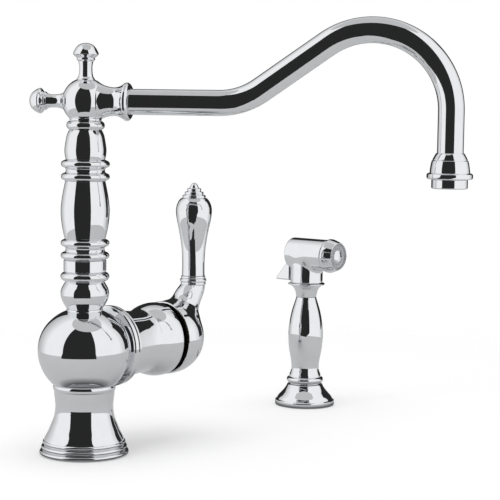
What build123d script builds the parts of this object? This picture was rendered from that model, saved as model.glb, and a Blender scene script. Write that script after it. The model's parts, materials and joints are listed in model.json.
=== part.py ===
from build123d import *
from math import cos, pi, radians, sin, sqrt, tan
import os

# Single-lever kitchen faucet with a turned column, a swivelling goose-neck spout and a
# side spray that stands in its own deck flange.  Millimetres.  The origin is the centre of
# the base ring on the deck, +Z is up and +X runs along the row of holes, from the faucet
# through its lever to the side spray.  -Y faces the user.

# ---- clearances -----------------------------------------------------------------------
running_fit = 0.08        # radial, on every turning or sliding fit
seat_gap = 0.15           # round faces that are clamped or screwed together
turn_gap = 0.35           # faces that pass each other as a piece turns, tilts or lifts

# ---- base and pedestal ----------------------------------------------------------------
base_radius = 33.8        # widest, lowest rib
rib_count = 3
rib_height = 3.75
rib_step = 1.2            # each rib is this much narrower than the one below
rib_depth = 1.4           # of the rounding of a rib
gasket_height = 2.0
gasket_width = 5.0
pedestal_height = 42.3
pedestal_foot_radius = 30.4
pedestal_waist_radius = 21.9
pedestal_rim_radius = 23.8
pedestal_wall = 3.0
spigot_wall = 2.2         # of the pedestal's foot, inside the base ring
shank_height = 24.0
tail_radius = 4.5         # tapping size of an M10 thread
tail_depth = 14.0
tail_circle = 9.5
tail_angle = 65.0         # of the hot and cold tails, either side of +X
stud_radius = 3.4         # tapping size of an M8 thread
passage_radius = 2.6
pipe_wall = 0.8
pipe_gap = 0.4            # between the feed pipe and the riser beside it
pipe_bend = 8.0
pipe_socket = 3.0

# ---- ball body ------------------------------------------------------------------------
ball_radius = 35.3
ball_flattening = 2.9     # by which the upper half is lower than the lower half
ball_side_easing = 5.3    # by which the upper half's side arc is tighter than the ball
ball_wall = 3.2
ball_mouth_lip = 1.5      # of the ball's floor inside the pedestal's bore
neck_boss_wall = 2.4      # round the riser, inside the ball
seam_radius = 13.8        # of the short collar that the column stands on
seam_height = 1.2

# ---- column, from the ball up ---------------------------------------------------------
foot_base_radius = 13.4
small_ball_radius = 18.3
small_ball_height = 21.0
torus_radius = 18.4
torus_height = 7.2
drum_radius = 16.0
drum_height = 9.1
bead_radius = 18.3
bead_height = 6.3
bead_groove_radius = 14.6
bead_groove_height = 3.2
lower_barrel_height = 43.5
lower_barrel_radius = 18.3
lower_barrel_end_radius = 15.2
upper_barrel_height = 22.5
upper_barrel_radius = 15.7
upper_barrel_foot_radius = 14.6
upper_barrel_top_radius = 12.1
swivel_collar_height = 6.3
swivel_collar_radius = 14.3
riser_radius = 7.5
riser_wall = 1.2
riser_overlap = 6.0       # length of the riser inside the piece at each of its ends
post_radius = 9.0
post_bore_radius = 5.0
post_flange_radius = 10.8
post_flange_height = 4.0
post_groove_depth = 1.2
post_port_radius = 2.8
ring_section = 1.0        # radius of the section of a sealing ring
bush_wall = 1.4
bush_height = 4.0

# ---- hub and finials ------------------------------------------------------------------
hub_radius = 17.5
hub_neck_radius = 11.9
hub_neck_height = 1.6
hub_port_wall = 1.6       # of the hub, between its bore and the spout's seal
finial_length = 25.8      # beyond the hub
finial_rim_radius = 9.6
finial_neck_radius = 4.9
finial_foot_radius = 6.8
finial_stud_radius = 2.9
finial_stud_length = 5.0

# ---- spout ----------------------------------------------------------------------------
spout_angle = -60.5       # of the arm at rest, from +X
spout_reach = 271.1
spout_radius = 9.525      # 19 mm tube
spout_wall = 1.2
incline_angle = 35.0
bend_radius = 54.0
arch_radius = 57.6
crest_rise = 53.9         # of the middle of the tube above the arm
spout_drop = 39.0         # straight length below the arch
nut_neck_radius = 10.6
nut_radius = 14.2
nut_end = 33.8            # outer face of the spout nut, from the column's axis
nut_lip = 2.6
cap_height = 18.8
cap_socket = 9.0
cap_ring_radius = 12.4
cap_ring_height = 4.6
cap_radius = 14.4
cap_lip_radius = 16.7
cap_lip_height = 4.4
aerator_radius = 13.1
aerator_height = 6.9
aerator_thread_radius = 11.7
aerator_thread_length = 7.0
aerator_wall = 1.6
aerator_lip = 1.1
aerator_hole_radius = 0.9
aerator_hole_pitch = 2.7   # between rings of holes
aerator_hole_rings = 3
washer_height = 1.8

# ---- lever side, lengths measured out along +X from the column's axis -----------------
port_collar_inset = 4.0       # of the collar's edge from the ball's, seen along the lever
port_collar_stand = 7.0       # of the collar's edge off the ball
port_disc_width = 4.2
port_groove_width = 0.8
port_groove_depth = 1.2
port_rear_disc_inset = 0.5    # from the edge of the front disc
port_rear_disc_width = 2.6
port_boss_radius = 24.0
housing_spigot_radius = 20.0
housing_spigot_length = 9.0
housing_foot_radius = 27.6
housing_neck_radius = 24.3
housing_neck_length = 24.0    # from the collar to the narrowest place
housing_radius = 29.1
housing_length = 49.4
housing_nose = 3.2            # from the middle of the housing's ball to its open end
housing_shoulder = 14.0       # of the ball that shows behind its middle
housing_floor = 5.0
housing_cavity_radius = 14.5
cartridge_radius = 17.5
cartridge_length = 26.0
cartridge_mouth_radius = 8.0
cartridge_mouth_depth = 3.0
port_seal_radius = 3.6
port_seal_section = 0.8
cartridge_nut_radius = 22.5
cartridge_nut_height = 4.0
disc_radius = 12.0
disc_height = 2.6
stem_radius = 4.0
stem_inner_length = 16.4      # inside the pivot
stem_outer_length = 13.0      # beyond the pivot
lever_gap = 6.2               # open groove between housing and lever
lever_skirt = 6.4             # straight skirt from the rim to the middle of the dome
dome_radius = 29.1
dome_wall = 3.2
lever_boss_radius = 8.0
lever_boss_start = 4.0        # beyond the pivot
lever_screw_radius = 2.0
lever_screw_length = 5.0
lever_screw_place = 8.5       # beyond the pivot
lever_tilt = 11.0
trunnion_radius = 2.0         # of the stem's cross pin
ear_radius = 3.2              # of the turning disc's ears round that pin
ear_wall = 2.2
horn_top_radius = 9.5
horn_neck_radius = 10.8       # where the horn's cone meets its elbow
horn_base_radius = 17.4       # of that cone, inside the dome
horn_start = 20.0             # from the middle of the dome to the cone's base
horn_straight = 1.0           # of the horn's top, under the handle's ring
horn_top_height = 39.8        # above the lever's axis
horn_lean = 45.0              # of the horn where it leaves the dome
handle_offset = 30.0          # of the handle beyond the middle of the dome
handle_ring_radius = 10.8
handle_ring_height = 7.6
handle_height = 63.0
handle_foot_radius = 9.1
handle_radius = 14.7
handle_shoulder_radius = 10.4
handle_shoulder_height = 10.5
handle_stud_radius = 3.0
handle_stud_length = 7.0
tip_height = 12.6
tip_radius = 9.4
tip_tiers = 3
tip_step = 1.95
tip_stud_radius = 2.5
tip_stud_length = 5.0

# ---- side spray -----------------------------------------------------------------------
spray_offset = 275.0      # from the faucet, along the row of holes
flange_radius = 26.4
flange_height = 18.8
flange_lip = 5.0
flange_top_radius = 15.4
flange_bore_radius = 12.6
holder_height = 10.8
ferrule_radius = 16.4
ferrule_height = 6.2
nipple_radius = 9.5
nipple_length = 15.0      # of the hose nipple, inside the flange
nipple_thread_length = 10.0
nipple_spigot_length = 6.0
nipple_spigot_radius = 8.0
nipple_thread_radius = 6.6
grip_height = 71.6
grip_foot_radius = 14.0
grip_ankle_radius = 12.2
grip_radius = 15.5
grip_neck_radius = 8.9
grip_bore_radius = 5.5
grip_tube_wall = 1.0
spray_nut_height = 12.6
spray_nut_radius = 16.3
head_radius = 14.3
barrel_radius = 13.9
barrel_rise = 25.6        # of the barrel's axis above the spray nut
barrel_back = 15.6
barrel_front = 24.4
head_stud_radius = 7.0
head_stud_length = 8.0
head_socket = 2.0         # length of the grip's tube inside the head
chamber_depth = 14.0
bezel_spigot_radius = 11.8
bezel_spigot_length = 6.0
bezel_radius = 14.9
bezel_length = 10.6
face_radius = 12.8
face_ring_radius = 9.4
face_height = 3.0
face_recess = 1.2
plug_radius = 5.9
spray_hole_radius = 0.6
spray_hole_count = 16
trigger_width = 16.0
trigger_height = 17.0
trigger_knuckle = 2.9
trigger_reach = 13.4      # of the tip beyond the barrel's back
trigger_pin_radius = 1.5
pin_half_length = 10.8
plunger_arm = 7.5         # from the trigger's pin down to the plunger
spring_pocket = 6.4
plunger_radius = 2.4
plunger_dome = 3.0        # radius of the end that the trigger pushes
plunger_length = 12.0
spring_wire = 0.45
spring_turns = 4
diverter_radius = 5.2
diverter_drop = 16.0      # of the diverter's lower end below the ball's top
diverter_floor = 1.5      # between the diverter's socket and its side port
piston_length = 8.0
spring_retainer = 1.5      # thickness of the ring above the diverter's spring
mixed_drop = 8.8          # of the mixed outlet below the lever's axis

# ---- heights that follow from the stack ------------------------------------------------
base_height = rib_count * rib_height
pedestal_top = base_height + pedestal_height
ball_crown = ball_radius - ball_flattening
ball_side_radius = ball_radius - ball_side_easing
ball_crown_radius = (ball_crown ** 2 - ball_side_radius ** 2 + ball_side_easing ** 2) / (
    2 * (ball_crown - ball_side_radius))
pedestal_bore = pedestal_waist_radius - pedestal_wall
ball_height = pedestal_top + sqrt(ball_radius ** 2 - pedestal_rim_radius ** 2)
ball_top = ball_height + ball_crown - seam_radius ** 2 / (2 * ball_crown_radius)
foot_bottom = ball_top + seam_height
foot_height = small_ball_height + torus_height + drum_height
bead_ring_height = 2 * bead_height + bead_groove_height
lower_beads_bottom = foot_bottom + foot_height
lower_barrel_bottom = lower_beads_bottom + bead_ring_height
upper_beads_bottom = lower_barrel_bottom + lower_barrel_height
upper_barrel_bottom = upper_beads_bottom + bead_ring_height
swivel_bottom = upper_barrel_bottom + upper_barrel_height
hub_bottom = swivel_bottom + swivel_collar_height + turn_gap
hub_height = hub_bottom + hub_neck_height + sqrt(hub_radius ** 2 - hub_neck_radius ** 2)
post_top = hub_height + 0.5 * hub_radius
post_bottom = swivel_bottom - post_flange_height - riser_overlap
post_shoulder = swivel_bottom - post_flange_height
diverter_bottom = ball_top - diverter_drop
diverter_top = foot_bottom + riser_overlap
diverter_port = diverter_bottom + pipe_socket + passage_radius + pipe_wall + diverter_floor

port_collar_radius = ball_radius - port_collar_inset
port_rear_disc_radius = port_collar_radius - port_rear_disc_inset
collar_start = sqrt(ball_radius ** 2 - port_collar_radius ** 2) + port_collar_stand
collar_end = collar_start + port_disc_width + port_groove_width + port_rear_disc_width
housing_end = collar_end + housing_length
housing_start = collar_end - housing_spigot_length
housing_middle = housing_end - housing_nose
cartridge_start = housing_end - cartridge_length - cartridge_nut_height / 2
lever_rim = housing_end + lever_gap
lever_pivot = lever_rim + lever_skirt
handle_axis = lever_pivot + handle_offset
handle_ring_bottom = ball_height + horn_top_height
handle_bottom = handle_ring_bottom + handle_ring_height
tip_bottom = handle_bottom + handle_height

spout_end = hub_height + crest_rise - arch_radius - spout_drop
cap_top = spout_end + cap_socket
cap_bottom = cap_top - cap_height
aerator_bottom = cap_bottom - aerator_height

ferrule_bottom = flange_height + turn_gap
grip_bottom = ferrule_bottom + ferrule_height
spray_nut_bottom = grip_bottom + grip_height
head_bottom = spray_nut_bottom + spray_nut_height
barrel_height = head_bottom + barrel_rise


# ---- helpers --------------------------------------------------------------------------
def outline(start, *steps):
    """A closed flat face. A point is a straight stretch, a pair (middle, end) is an arc
    and a list of points is a smooth curve."""
    edges = []
    here = start
    for step in steps:
        if isinstance(step, list):
            edges.append(Spline(here, *step))
            here = step[-1]
        elif isinstance(step[0], tuple):
            edges.append(ThreePointArc(here, step[0], step[1]))
            here = step[1]
        else:
            edges.append(Line(here, step))
            here = step
    if here != start:
        edges.append(Line(here, start))
    return make_face(Curve() + edges)


def turned(start, *steps):
    """A solid turned about +Z from an outline of (radius, height) points."""
    return revolve(Plane.XZ * outline(start, *steps), Axis.Z)


def rod(radius, bottom, top, x=0, y=0):
    return Pos(x, y, bottom) * Cylinder(radius, top - bottom, align=(Align.CENTER, Align.CENTER, Align.MIN))


def tube(radius, bore, bottom, top, x=0, y=0):
    return rod(radius, bottom, top, x, y) - rod(bore, bottom - 1, top + 1, x, y)


def ring_of_holes(radius, pitch, count, bottom, top):
    turns = [2 * pi * number / count for number in range(count)]
    return [rod(radius, bottom, top, pitch * cos(turn), pitch * sin(turn)) for turn in turns]


def bead(radius, depth, bottom, top):
    """The two steps of a rounded rib that stands out to radius."""
    return (radius - depth, bottom), ((radius, (bottom + top) / 2), (radius - depth, top))


def along_x(piece):
    """Lays a piece that was turned about +Z along +X, at the height of the lever."""
    return Pos(0, 0, ball_height) * Rot(0, 90, 0) * piece


def on_spout(piece):
    return Rot(0, 0, spout_angle) * piece


def at_spray(piece):
    return Pos(spray_offset, 0, 0) * piece


def at_barrel(piece):
    """Lays a piece that was turned about +Z along -Y, in the barrel of the spray head."""
    return Pos(spray_offset, 0, barrel_height) * Rot(90, 0, 0) * piece


def pipe(radius, wall, *route):
    """A pipe along straight runs with round bends."""
    path = FilletPolyline(*route, radius=pipe_bend)
    section = Plane(origin=path @ 0, z_dir=path % 0) * (Circle(radius) - Circle(radius - wall))
    return sweep(section, path=path)


def coil(radius, wire, turns, bottom, top):
    """A helical spring about +Z whose ends stop just short of bottom and top."""
    length = top - bottom - 2 * wire - 2 * turn_gap
    path = Helix(pitch=length / turns, height=length, radius=radius)
    section = Plane(origin=path @ 0, z_dir=path % 0) * Circle(wire)
    return Pos(0, 0, bottom + wire + turn_gap) * sweep(section, path=path, is_frenet=True)


# ---- base ring, gasket, pedestal and inlets --------------------------------------------
pedestal_spigot = pedestal_bore + spigot_wall
gasket_radius = base_radius - rib_depth - 1.0
shank_radius = pedestal_bore - seat_gap
pipe_radius = passage_radius + pipe_wall
feed_offset = riser_radius + pipe_radius + pipe_gap
tail_places = [(tail_circle * cos(radians(turn)), tail_circle * sin(radians(turn)))
               for turn in (tail_angle, -tail_angle)]


def make_base_ring():
    steps = []
    for rib in range(rib_count):
        steps += bead(base_radius - rib * rib_step, rib_depth, rib * rib_height, (rib + 1) * rib_height)
    ring = turned((pedestal_spigot + seat_gap, 0), *steps, (pedestal_spigot + seat_gap, base_height))
    return ring - tube(gasket_radius, gasket_radius - gasket_width, -1, gasket_height)


def make_base_gasket():
    return tube(gasket_radius - seat_gap, gasket_radius - gasket_width + seat_gap, 0, gasket_height)


def make_pedestal():
    def at(share):
        return base_height + share * pedestal_height

    body = turned(
        (pedestal_bore, gasket_height),
        (pedestal_spigot, gasket_height),
        (pedestal_spigot, base_height),
        (pedestal_foot_radius, base_height),
        [(pedestal_waist_radius + 4.1, at(0.24)),
         (pedestal_waist_radius + 0.9, at(0.42)),
         (pedestal_waist_radius, at(0.61)),
         (pedestal_rim_radius - 1.3, at(0.8)),
         (pedestal_rim_radius - 0.6, at(0.95))],
        ((pedestal_rim_radius, at(0.975)), (pedestal_rim_radius - 0.2, at(1.0))),
        (pedestal_bore, at(1.0)))
    return body - Pos(0, 0, ball_height) * Sphere(ball_radius + seat_gap)


def make_shank_block():
    block = rod(shank_radius, 0, shank_height)
    for x, y in tail_places + [(-feed_offset, 0)]:
        block -= rod(tail_radius, -1, tail_depth, x, y)
        block -= rod(passage_radius, 0, shank_height + 1, x, y)
        block -= rod(pipe_radius + seat_gap, shank_height - pipe_socket, shank_height + 1, x, y)
    return block - rod(stud_radius, -1, tail_depth)


def make_supply_pipes():
    bottom = shank_height - pipe_socket
    end = cartridge_start - housing_floor + pipe_socket - seat_gap
    pipes = [pipe(pipe_radius, pipe_wall, (x, y, bottom), (x, y, ball_height), (end, y, ball_height))
             for x, y in tail_places]
    return Compound(children=[found for piece in pipes for found in piece.solids()])


def make_mixed_pipe():
    end = cartridge_start - housing_floor + pipe_socket - seat_gap
    height = ball_height - mixed_drop
    return pipe(pipe_radius, pipe_wall, (end, 0, height), (0, 0, height),
                (0, 0, diverter_bottom + pipe_socket - seat_gap))


def to_port(piece):
    """Lays a piece that was turned about +Z along -X, at the height of the diverter's port."""
    return Pos(0, 0, diverter_port) * Rot(0, -90, 0) * piece


def make_feed_pipe():
    bottom = shank_height - pipe_socket
    upright = rod(pipe_radius, bottom, diverter_port + pipe_radius, -feed_offset)
    branch = to_port(rod(passage_radius, riser_radius - 1.0, feed_offset))
    passage = rod(passage_radius, bottom - 1, diverter_port + passage_radius, -feed_offset)
    inner = to_port(rod(passage_radius - pipe_wall, riser_radius - 2.0, feed_offset))
    return upright + branch - passage - inner


# ---- ball body -------------------------------------------------------------------------
ball_mouth = pedestal_bore - ball_mouth_lip
neck_boss_radius = riser_radius + neck_boss_wall
neck_boss_bottom = diverter_port + pipe_radius + pipe_gap


def ball(inset):
    """The ball, inset by a wall or grown by a negative inset. It is half-round below its
    middle, and flatter above, where a side arc runs into a wider crown arc."""
    radius = ball_radius - inset
    crown = ball_crown - inset
    side = ball_side_radius - inset
    side_x = radius - side
    crown_radius = (crown ** 2 + side_x ** 2 - side ** 2) / (2 * (crown - side))
    reach = crown_radius - side
    lean = (side_x / reach, (crown_radius - crown) / reach)
    join = (side_x + side * lean[0], side * lean[1])
    side_middle = (side_x + side * cos(radians(20)), side * sin(radians(20)))
    crown_turn = radians(20)
    crown_middle = (crown_radius * sin(crown_turn), crown - crown_radius * (1 - cos(crown_turn)))
    half = 1 / sqrt(2)
    shape = outline(
        (0, -radius),
        ((radius * half, -radius * half), (radius, 0)),
        (side_middle, join),
        (crown_middle, (0, crown)))
    return Pos(0, 0, ball_height) * revolve(Plane.XZ * shape, Axis.Z)


def make_ball_body():
    skin = ball(0) + rod(seam_radius, ball_height, foot_bottom)
    skin += along_x(rod(port_boss_radius, 0, collar_end))
    hollow = ball(ball_wall) - along_x(rod(port_boss_radius, housing_start, collar_end))
    body = skin - (hollow - rod(neck_boss_radius, neck_boss_bottom, foot_bottom))
    body -= rod(ball_mouth, ball_height - ball_radius - 1, ball_height)
    body -= rod(riser_radius + seat_gap, neck_boss_bottom - 1, foot_bottom + 1)
    body -= rod(seam_radius + 1, foot_bottom, ball_height + ball_radius)
    body -= along_x(rod(housing_spigot_radius + seat_gap, housing_start - 1, collar_end + 1))
    return body - along_x(rod(port_boss_radius, collar_end, 2 * ball_radius))


def make_diverter_body():
    body = rod(riser_radius, diverter_bottom, diverter_top)
    body -= rod(pipe_radius + seat_gap, diverter_bottom - 1, diverter_bottom + pipe_socket)
    body -= rod(passage_radius, diverter_bottom, diverter_top + 1)
    body -= rod(diverter_radius + running_fit, diverter_port - passage_radius, diverter_top + 1)
    return body - to_port(rod(passage_radius + seat_gap, 0, riser_radius + 1))


piston_bottom = diverter_port - passage_radius + seat_gap
piston_top = piston_bottom + piston_length
retainer_bottom = diverter_top - spring_retainer


def make_diverter_piston():
    return tube(diverter_radius, passage_radius - 1.0, piston_bottom, piston_top)


def make_spring_retainer():
    return tube(diverter_radius, passage_radius, retainer_bottom, diverter_top)


def make_diverter_spring():
    return coil(diverter_radius - 1.0, spring_wire, spring_turns, piston_top, retainer_bottom)


# ---- column ----------------------------------------------------------------------------
sleeve_bore = riser_radius + seat_gap


def make_column_foot():
    ball_middle = foot_bottom + 0.56 * small_ball_height
    ball_end = foot_bottom + small_ball_height
    drum_bottom = ball_end + torus_height
    top = foot_bottom + foot_height
    return turned(
        (sleeve_bore, foot_bottom),
        (foot_base_radius, foot_bottom),
        [(small_ball_radius - 1.3, foot_bottom + 0.3 * small_ball_height),
         (small_ball_radius, ball_middle),
         (small_ball_radius - 1.1, foot_bottom + 0.8 * small_ball_height),
         (drum_radius - 1.4, ball_end)],
        (drum_radius - 0.2, ball_end + 0.3),
        ((torus_radius, ball_end + torus_height / 2), (drum_radius, drum_bottom)),
        (drum_radius, top),
        (sleeve_bore, top))


def make_bead_ring(bottom):
    depth = bead_radius - bead_groove_radius - 0.6
    upper = bottom + bead_height + bead_groove_height
    groove = [(bead_groove_radius, bottom + bead_height), (bead_groove_radius, upper)]
    return turned(
        (sleeve_bore, bottom),
        *bead(bead_radius, depth, bottom, bottom + bead_height),
        *groove,
        *bead(bead_radius, depth, upper, upper + bead_height),
        (sleeve_bore, upper + bead_height))


def make_lower_barrel():
    def at(share):
        return lower_barrel_bottom + share * lower_barrel_height

    return turned(
        (sleeve_bore, at(0)),
        (lower_barrel_end_radius, at(0)),
        [(lower_barrel_radius - 1.5, at(0.16)),
         (lower_barrel_radius - 0.2, at(0.36)),
         (lower_barrel_radius, at(0.5)),
         (lower_barrel_radius - 0.7, at(0.68)),
         (lower_barrel_end_radius, at(1))],
        (sleeve_bore, at(1)))


def make_upper_barrel():
    def at(share):
        return upper_barrel_bottom + share * upper_barrel_height

    barrel = turned(
        (sleeve_bore, at(0)),
        (upper_barrel_foot_radius, at(0)),
        [(upper_barrel_radius, at(0.32)),
         (upper_barrel_radius - 0.45, at(0.56)),
         (upper_barrel_radius - 1.7, at(0.83)),
         (upper_barrel_top_radius, at(1))],
        (sleeve_bore, at(1)))
    barrel -= rod(post_radius + seat_gap, post_bottom - seat_gap, at(1) + 1)
    return barrel - rod(post_flange_radius + seat_gap, post_shoulder, at(1) + 1)


def make_riser():
    return tube(riser_radius, riser_radius - riser_wall, diverter_top, post_shoulder)


def make_swivel_collar():
    end_radius = upper_barrel_top_radius - 0.2
    depth = swivel_collar_radius - end_radius
    return turned(
        (post_radius + seat_gap, swivel_bottom),
        *bead(swivel_collar_radius, depth, swivel_bottom, swivel_bottom + swivel_collar_height),
        (post_radius + seat_gap, swivel_bottom + swivel_collar_height))


post_groove_half = finial_stud_radius + turn_gap
post_rings = (hub_height - post_groove_half - 2.6, hub_height + post_groove_half + 1.8)


def make_swivel_post():
    post = rod(post_radius, post_bottom, post_top)
    post += rod(post_flange_radius, post_shoulder, swivel_bottom)
    post -= rod(riser_radius + seat_gap, post_bottom - 1, post_shoulder)
    post -= rod(post_bore_radius, post_shoulder - 1, hub_height + post_groove_half)
    post -= tube(post_radius + 1, post_radius - post_groove_depth,
                 hub_height - post_groove_half, hub_height + post_groove_half)
    for turn in range(4):
        post -= Pos(0, 0, hub_height) * Rot(0, 0, 90 * turn) * Rot(0, 90, 0) * rod(
            post_port_radius, 0, post_radius)
    ring_seat = post_radius - 2 * ring_section
    for height in post_rings:
        post -= tube(post_radius + 1, ring_seat, height - 1.1 * ring_section, height + 1.1 * ring_section)
    return post


def make_post_rings():
    """Two rings that seal the turning hub on the post."""
    radius = post_radius - ring_section + running_fit / 2
    rings = [Pos(0, 0, height) * Torus(radius, ring_section) for height in post_rings]
    return Compound(children=rings)


# ---- hub, finials and spout, made along +X and turned to the spout's angle -------------
hub_bore = post_radius + running_fit
bush_radius = hub_bore + bush_wall
tube_start = post_radius + hub_port_wall + 2 * ring_section
finial_seat = hub_radius - 0.6


def at_hub(piece):
    """Lays a piece that was turned about +Z along the spout's arm."""
    return Pos(0, 0, hub_height) * Rot(0, 90, 0) * piece


def make_hub():
    hub = Pos(0, 0, hub_height) * Sphere(hub_radius)
    hub -= rod(hub_radius, hub_height - hub_radius, hub_bottom + hub_neck_height)
    hub += rod(hub_neck_radius, hub_bottom, hub_height)
    hub -= at_hub(rod(spout_radius + seat_gap, tube_start - 2 * ring_section, hub_radius + 1))
    hub -= at_hub(rod(post_groove_half, 0, hub_radius))
    hub -= at_hub(rod(finial_stud_radius + seat_gap, -hub_radius - 1, 0))
    hub -= rod(finial_stud_radius + seat_gap, hub_height + finial_seat - finial_stud_length - 0.5,
               hub_height + hub_radius + 1)
    hub -= rod(bush_radius + seat_gap, hub_bottom - 1, hub_bottom + bush_height)
    return on_spout(hub - rod(hub_bore, hub_bottom - 1, post_top + turn_gap))


def make_swivel_bush():
    return on_spout(tube(bush_radius, hub_bore, hub_bottom, hub_bottom + bush_height))


def finial(stud_length):
    """A turned knob on +Z that stands on the hub's ball."""
    seat = finial_seat
    end = hub_radius + finial_length
    rim = end - 0.33 * finial_length
    undercut = rim - 2.4
    neck = undercut - 2.6
    knob = turned(
        (0, seat - 1.5),
        (finial_foot_radius, seat - 1.5),
        [(finial_foot_radius - 1.3, seat + 1.9),
         (finial_neck_radius, seat + 6.0),
         (finial_neck_radius, neck - 0.8)],
        (finial_foot_radius - 1.1, neck),
        (finial_foot_radius, neck + 0.5),
        (finial_foot_radius, undercut),
        (finial_rim_radius - 0.7, rim - 0.5),
        (finial_rim_radius, rim),
        (finial_rim_radius - 1.2, rim + 1.3),
        [(finial_rim_radius * 0.84, end - 5.0), (finial_rim_radius * 0.63, end - 1.9),
         (finial_rim_radius * 0.3, end - 0.35), (0, end)])
    knob -= Sphere(hub_radius + seat_gap)
    return knob + rod(finial_stud_radius, seat - stud_length, undercut)


def make_top_finial():
    return on_spout(Pos(0, 0, hub_height) * finial(finial_stud_length))


def make_side_finial():
    stud = finial_seat - (post_radius - post_groove_depth) - running_fit
    return on_spout(Pos(0, 0, hub_height) * Rot(0, -90, 0) * finial(stud))


def make_spout_nut():
    neck = nut_end - 12.0
    flare = nut_end - nut_lip
    nut = turned(
        (spout_radius + seat_gap, hub_neck_radius),
        (nut_neck_radius + 0.5, hub_neck_radius),
        [(nut_neck_radius, neck), (nut_neck_radius + 1.4, flare - 2.4), (nut_radius - 0.7, flare)],
        ((nut_radius, nut_end - nut_lip / 2), (nut_radius - 0.7, nut_end)),
        (nut_neck_radius + 0.9, nut_end + 0.6),
        (spout_radius + seat_gap, nut_end + 0.6))
    return on_spout(at_hub(nut - Sphere(hub_radius + seat_gap)))


def spout_path():
    """The middle line of the tube: arm, bend, incline, arch and drop."""
    turn = radians(incline_angle)
    arch_x = spout_reach - arch_radius
    arch_z = hub_height + crest_rise - arch_radius
    leave = (arch_x - arch_radius * sin(turn), arch_z + arch_radius * cos(turn))
    incline_foot = leave[0] - (leave[1] - hub_height) / tan(turn)
    tangent = bend_radius * tan(turn / 2)
    bend_start = incline_foot - tangent
    bend_end = (incline_foot + tangent * cos(turn), hub_height + tangent * sin(turn))
    half = turn / 2
    bend_middle = (bend_start + bend_radius * sin(half), hub_height + bend_radius * (1 - cos(half)))
    crest = radians(45 + incline_angle / 2)
    arch_middle = (arch_x + arch_radius * sin(radians(45) - half), arch_z + arch_radius * sin(crest))
    flat = Curve() + [
        Line((tube_start, hub_height), (bend_start, hub_height)),
        ThreePointArc((bend_start, hub_height), bend_middle, bend_end),
        Line(bend_end, leave),
        ThreePointArc(leave, arch_middle, (spout_reach, arch_z)),
        Line((spout_reach, arch_z), (spout_reach, spout_end))]
    return Plane.XZ * flat


def make_spout_tube():
    section = Pos(tube_start, 0, hub_height) * Rot(0, 90, 0) * (
        Circle(spout_radius) - Circle(spout_radius - spout_wall))
    return on_spout(sweep(section, path=Wire(spout_path().edges())))


def make_spout_seal():
    ring = Pos(0, 0, tube_start - ring_section) * Torus(spout_radius - ring_section, ring_section)
    return on_spout(at_hub(ring))


def at_outlet(piece):
    return on_spout(Pos(spout_reach, 0, 0) * piece)


def make_outlet_cap():
    ring_bottom = cap_top - cap_ring_height
    lip_bottom = cap_bottom + 0.6
    lip_top = lip_bottom + cap_lip_height
    cap = turned(
        (spout_radius + seat_gap, cap_top),
        (spout_radius + 0.9, cap_top),
        (cap_ring_radius - 0.9, ring_bottom + 1.9),
        ((cap_ring_radius, ring_bottom + 1.1), (cap_ring_radius - 0.6, ring_bottom)),
        [(cap_radius - 1.0, ring_bottom - 1.4), (cap_radius - 0.4, ring_bottom - 5.0), (cap_radius, lip_top)],
        *bead(cap_lip_radius, 0.9, lip_bottom, lip_top),
        (cap_radius - 0.4, cap_bottom),
        (aerator_thread_radius + seat_gap, cap_bottom),
        (aerator_thread_radius + seat_gap, spout_end - 1.0),
        (spout_radius - spout_wall, spout_end - 1.0),
        (spout_radius - spout_wall, spout_end),
        (spout_radius + seat_gap, spout_end))
    return at_outlet(cap)


def make_aerator_shell():
    shell = turned(
        (aerator_radius - aerator_wall, aerator_bottom),
        (aerator_radius - 0.5, aerator_bottom),
        (aerator_radius, aerator_bottom + 0.5),
        (aerator_radius, cap_bottom),
        (aerator_thread_radius, cap_bottom),
        (aerator_thread_radius, cap_bottom + aerator_thread_length),
        (aerator_thread_radius - aerator_wall, cap_bottom + aerator_thread_length),
        (aerator_thread_radius - aerator_wall, aerator_bottom + 1.5),
        (aerator_thread_radius - aerator_wall - aerator_lip, aerator_bottom + 1.5),
        (aerator_thread_radius - aerator_wall - aerator_lip, aerator_bottom + 0.8))
    return at_outlet(shell)


def make_aerator_insert():
    radius = aerator_thread_radius - aerator_wall - seat_gap
    bottom = aerator_bottom + 1.5
    insert = rod(radius, bottom, cap_bottom + aerator_thread_length - 0.5)
    for ring in range(1, aerator_hole_rings + 1):
        insert -= ring_of_holes(aerator_hole_radius, aerator_hole_pitch * ring, 6 * ring, bottom - 1, cap_top)
    return at_outlet(insert)


def make_aerator_washer():
    bottom = cap_bottom + aerator_thread_length
    bore = spout_radius - spout_wall
    return at_outlet(tube(aerator_thread_radius - seat_gap, bore, bottom, bottom + washer_height))


# ---- lever side ------------------------------------------------------------------------
def make_port_collar():
    groove_start = collar_start + port_disc_width
    rear_start = groove_start + port_groove_width
    collar = turned(
        (port_boss_radius + seat_gap, 0),
        (port_collar_radius - 4.2, 0),
        (port_collar_radius - 4.2, collar_start - 1.5),
        (port_collar_radius - 0.8, collar_start),
        *bead(port_collar_radius, 0.5, collar_start + 0.4, groove_start),
        (port_rear_disc_radius - port_groove_depth, groove_start),
        (port_rear_disc_radius - port_groove_depth, rear_start),
        *bead(port_rear_disc_radius, 0.7, rear_start, collar_end),
        (port_boss_radius + seat_gap, collar_end))
    collar = along_x(collar) - ball(-seat_gap)
    return collar - rod(pedestal_rim_radius + seat_gap, base_height, pedestal_top + seat_gap)


port_places = [(0, tail_circle * sin(radians(tail_angle))), (0, -tail_circle * sin(radians(tail_angle))),
               (mixed_drop, 0)]
nut_seat = housing_end - cartridge_nut_height / 2
disc_seat = nut_seat - disc_height - 2 * turn_gap


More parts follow.
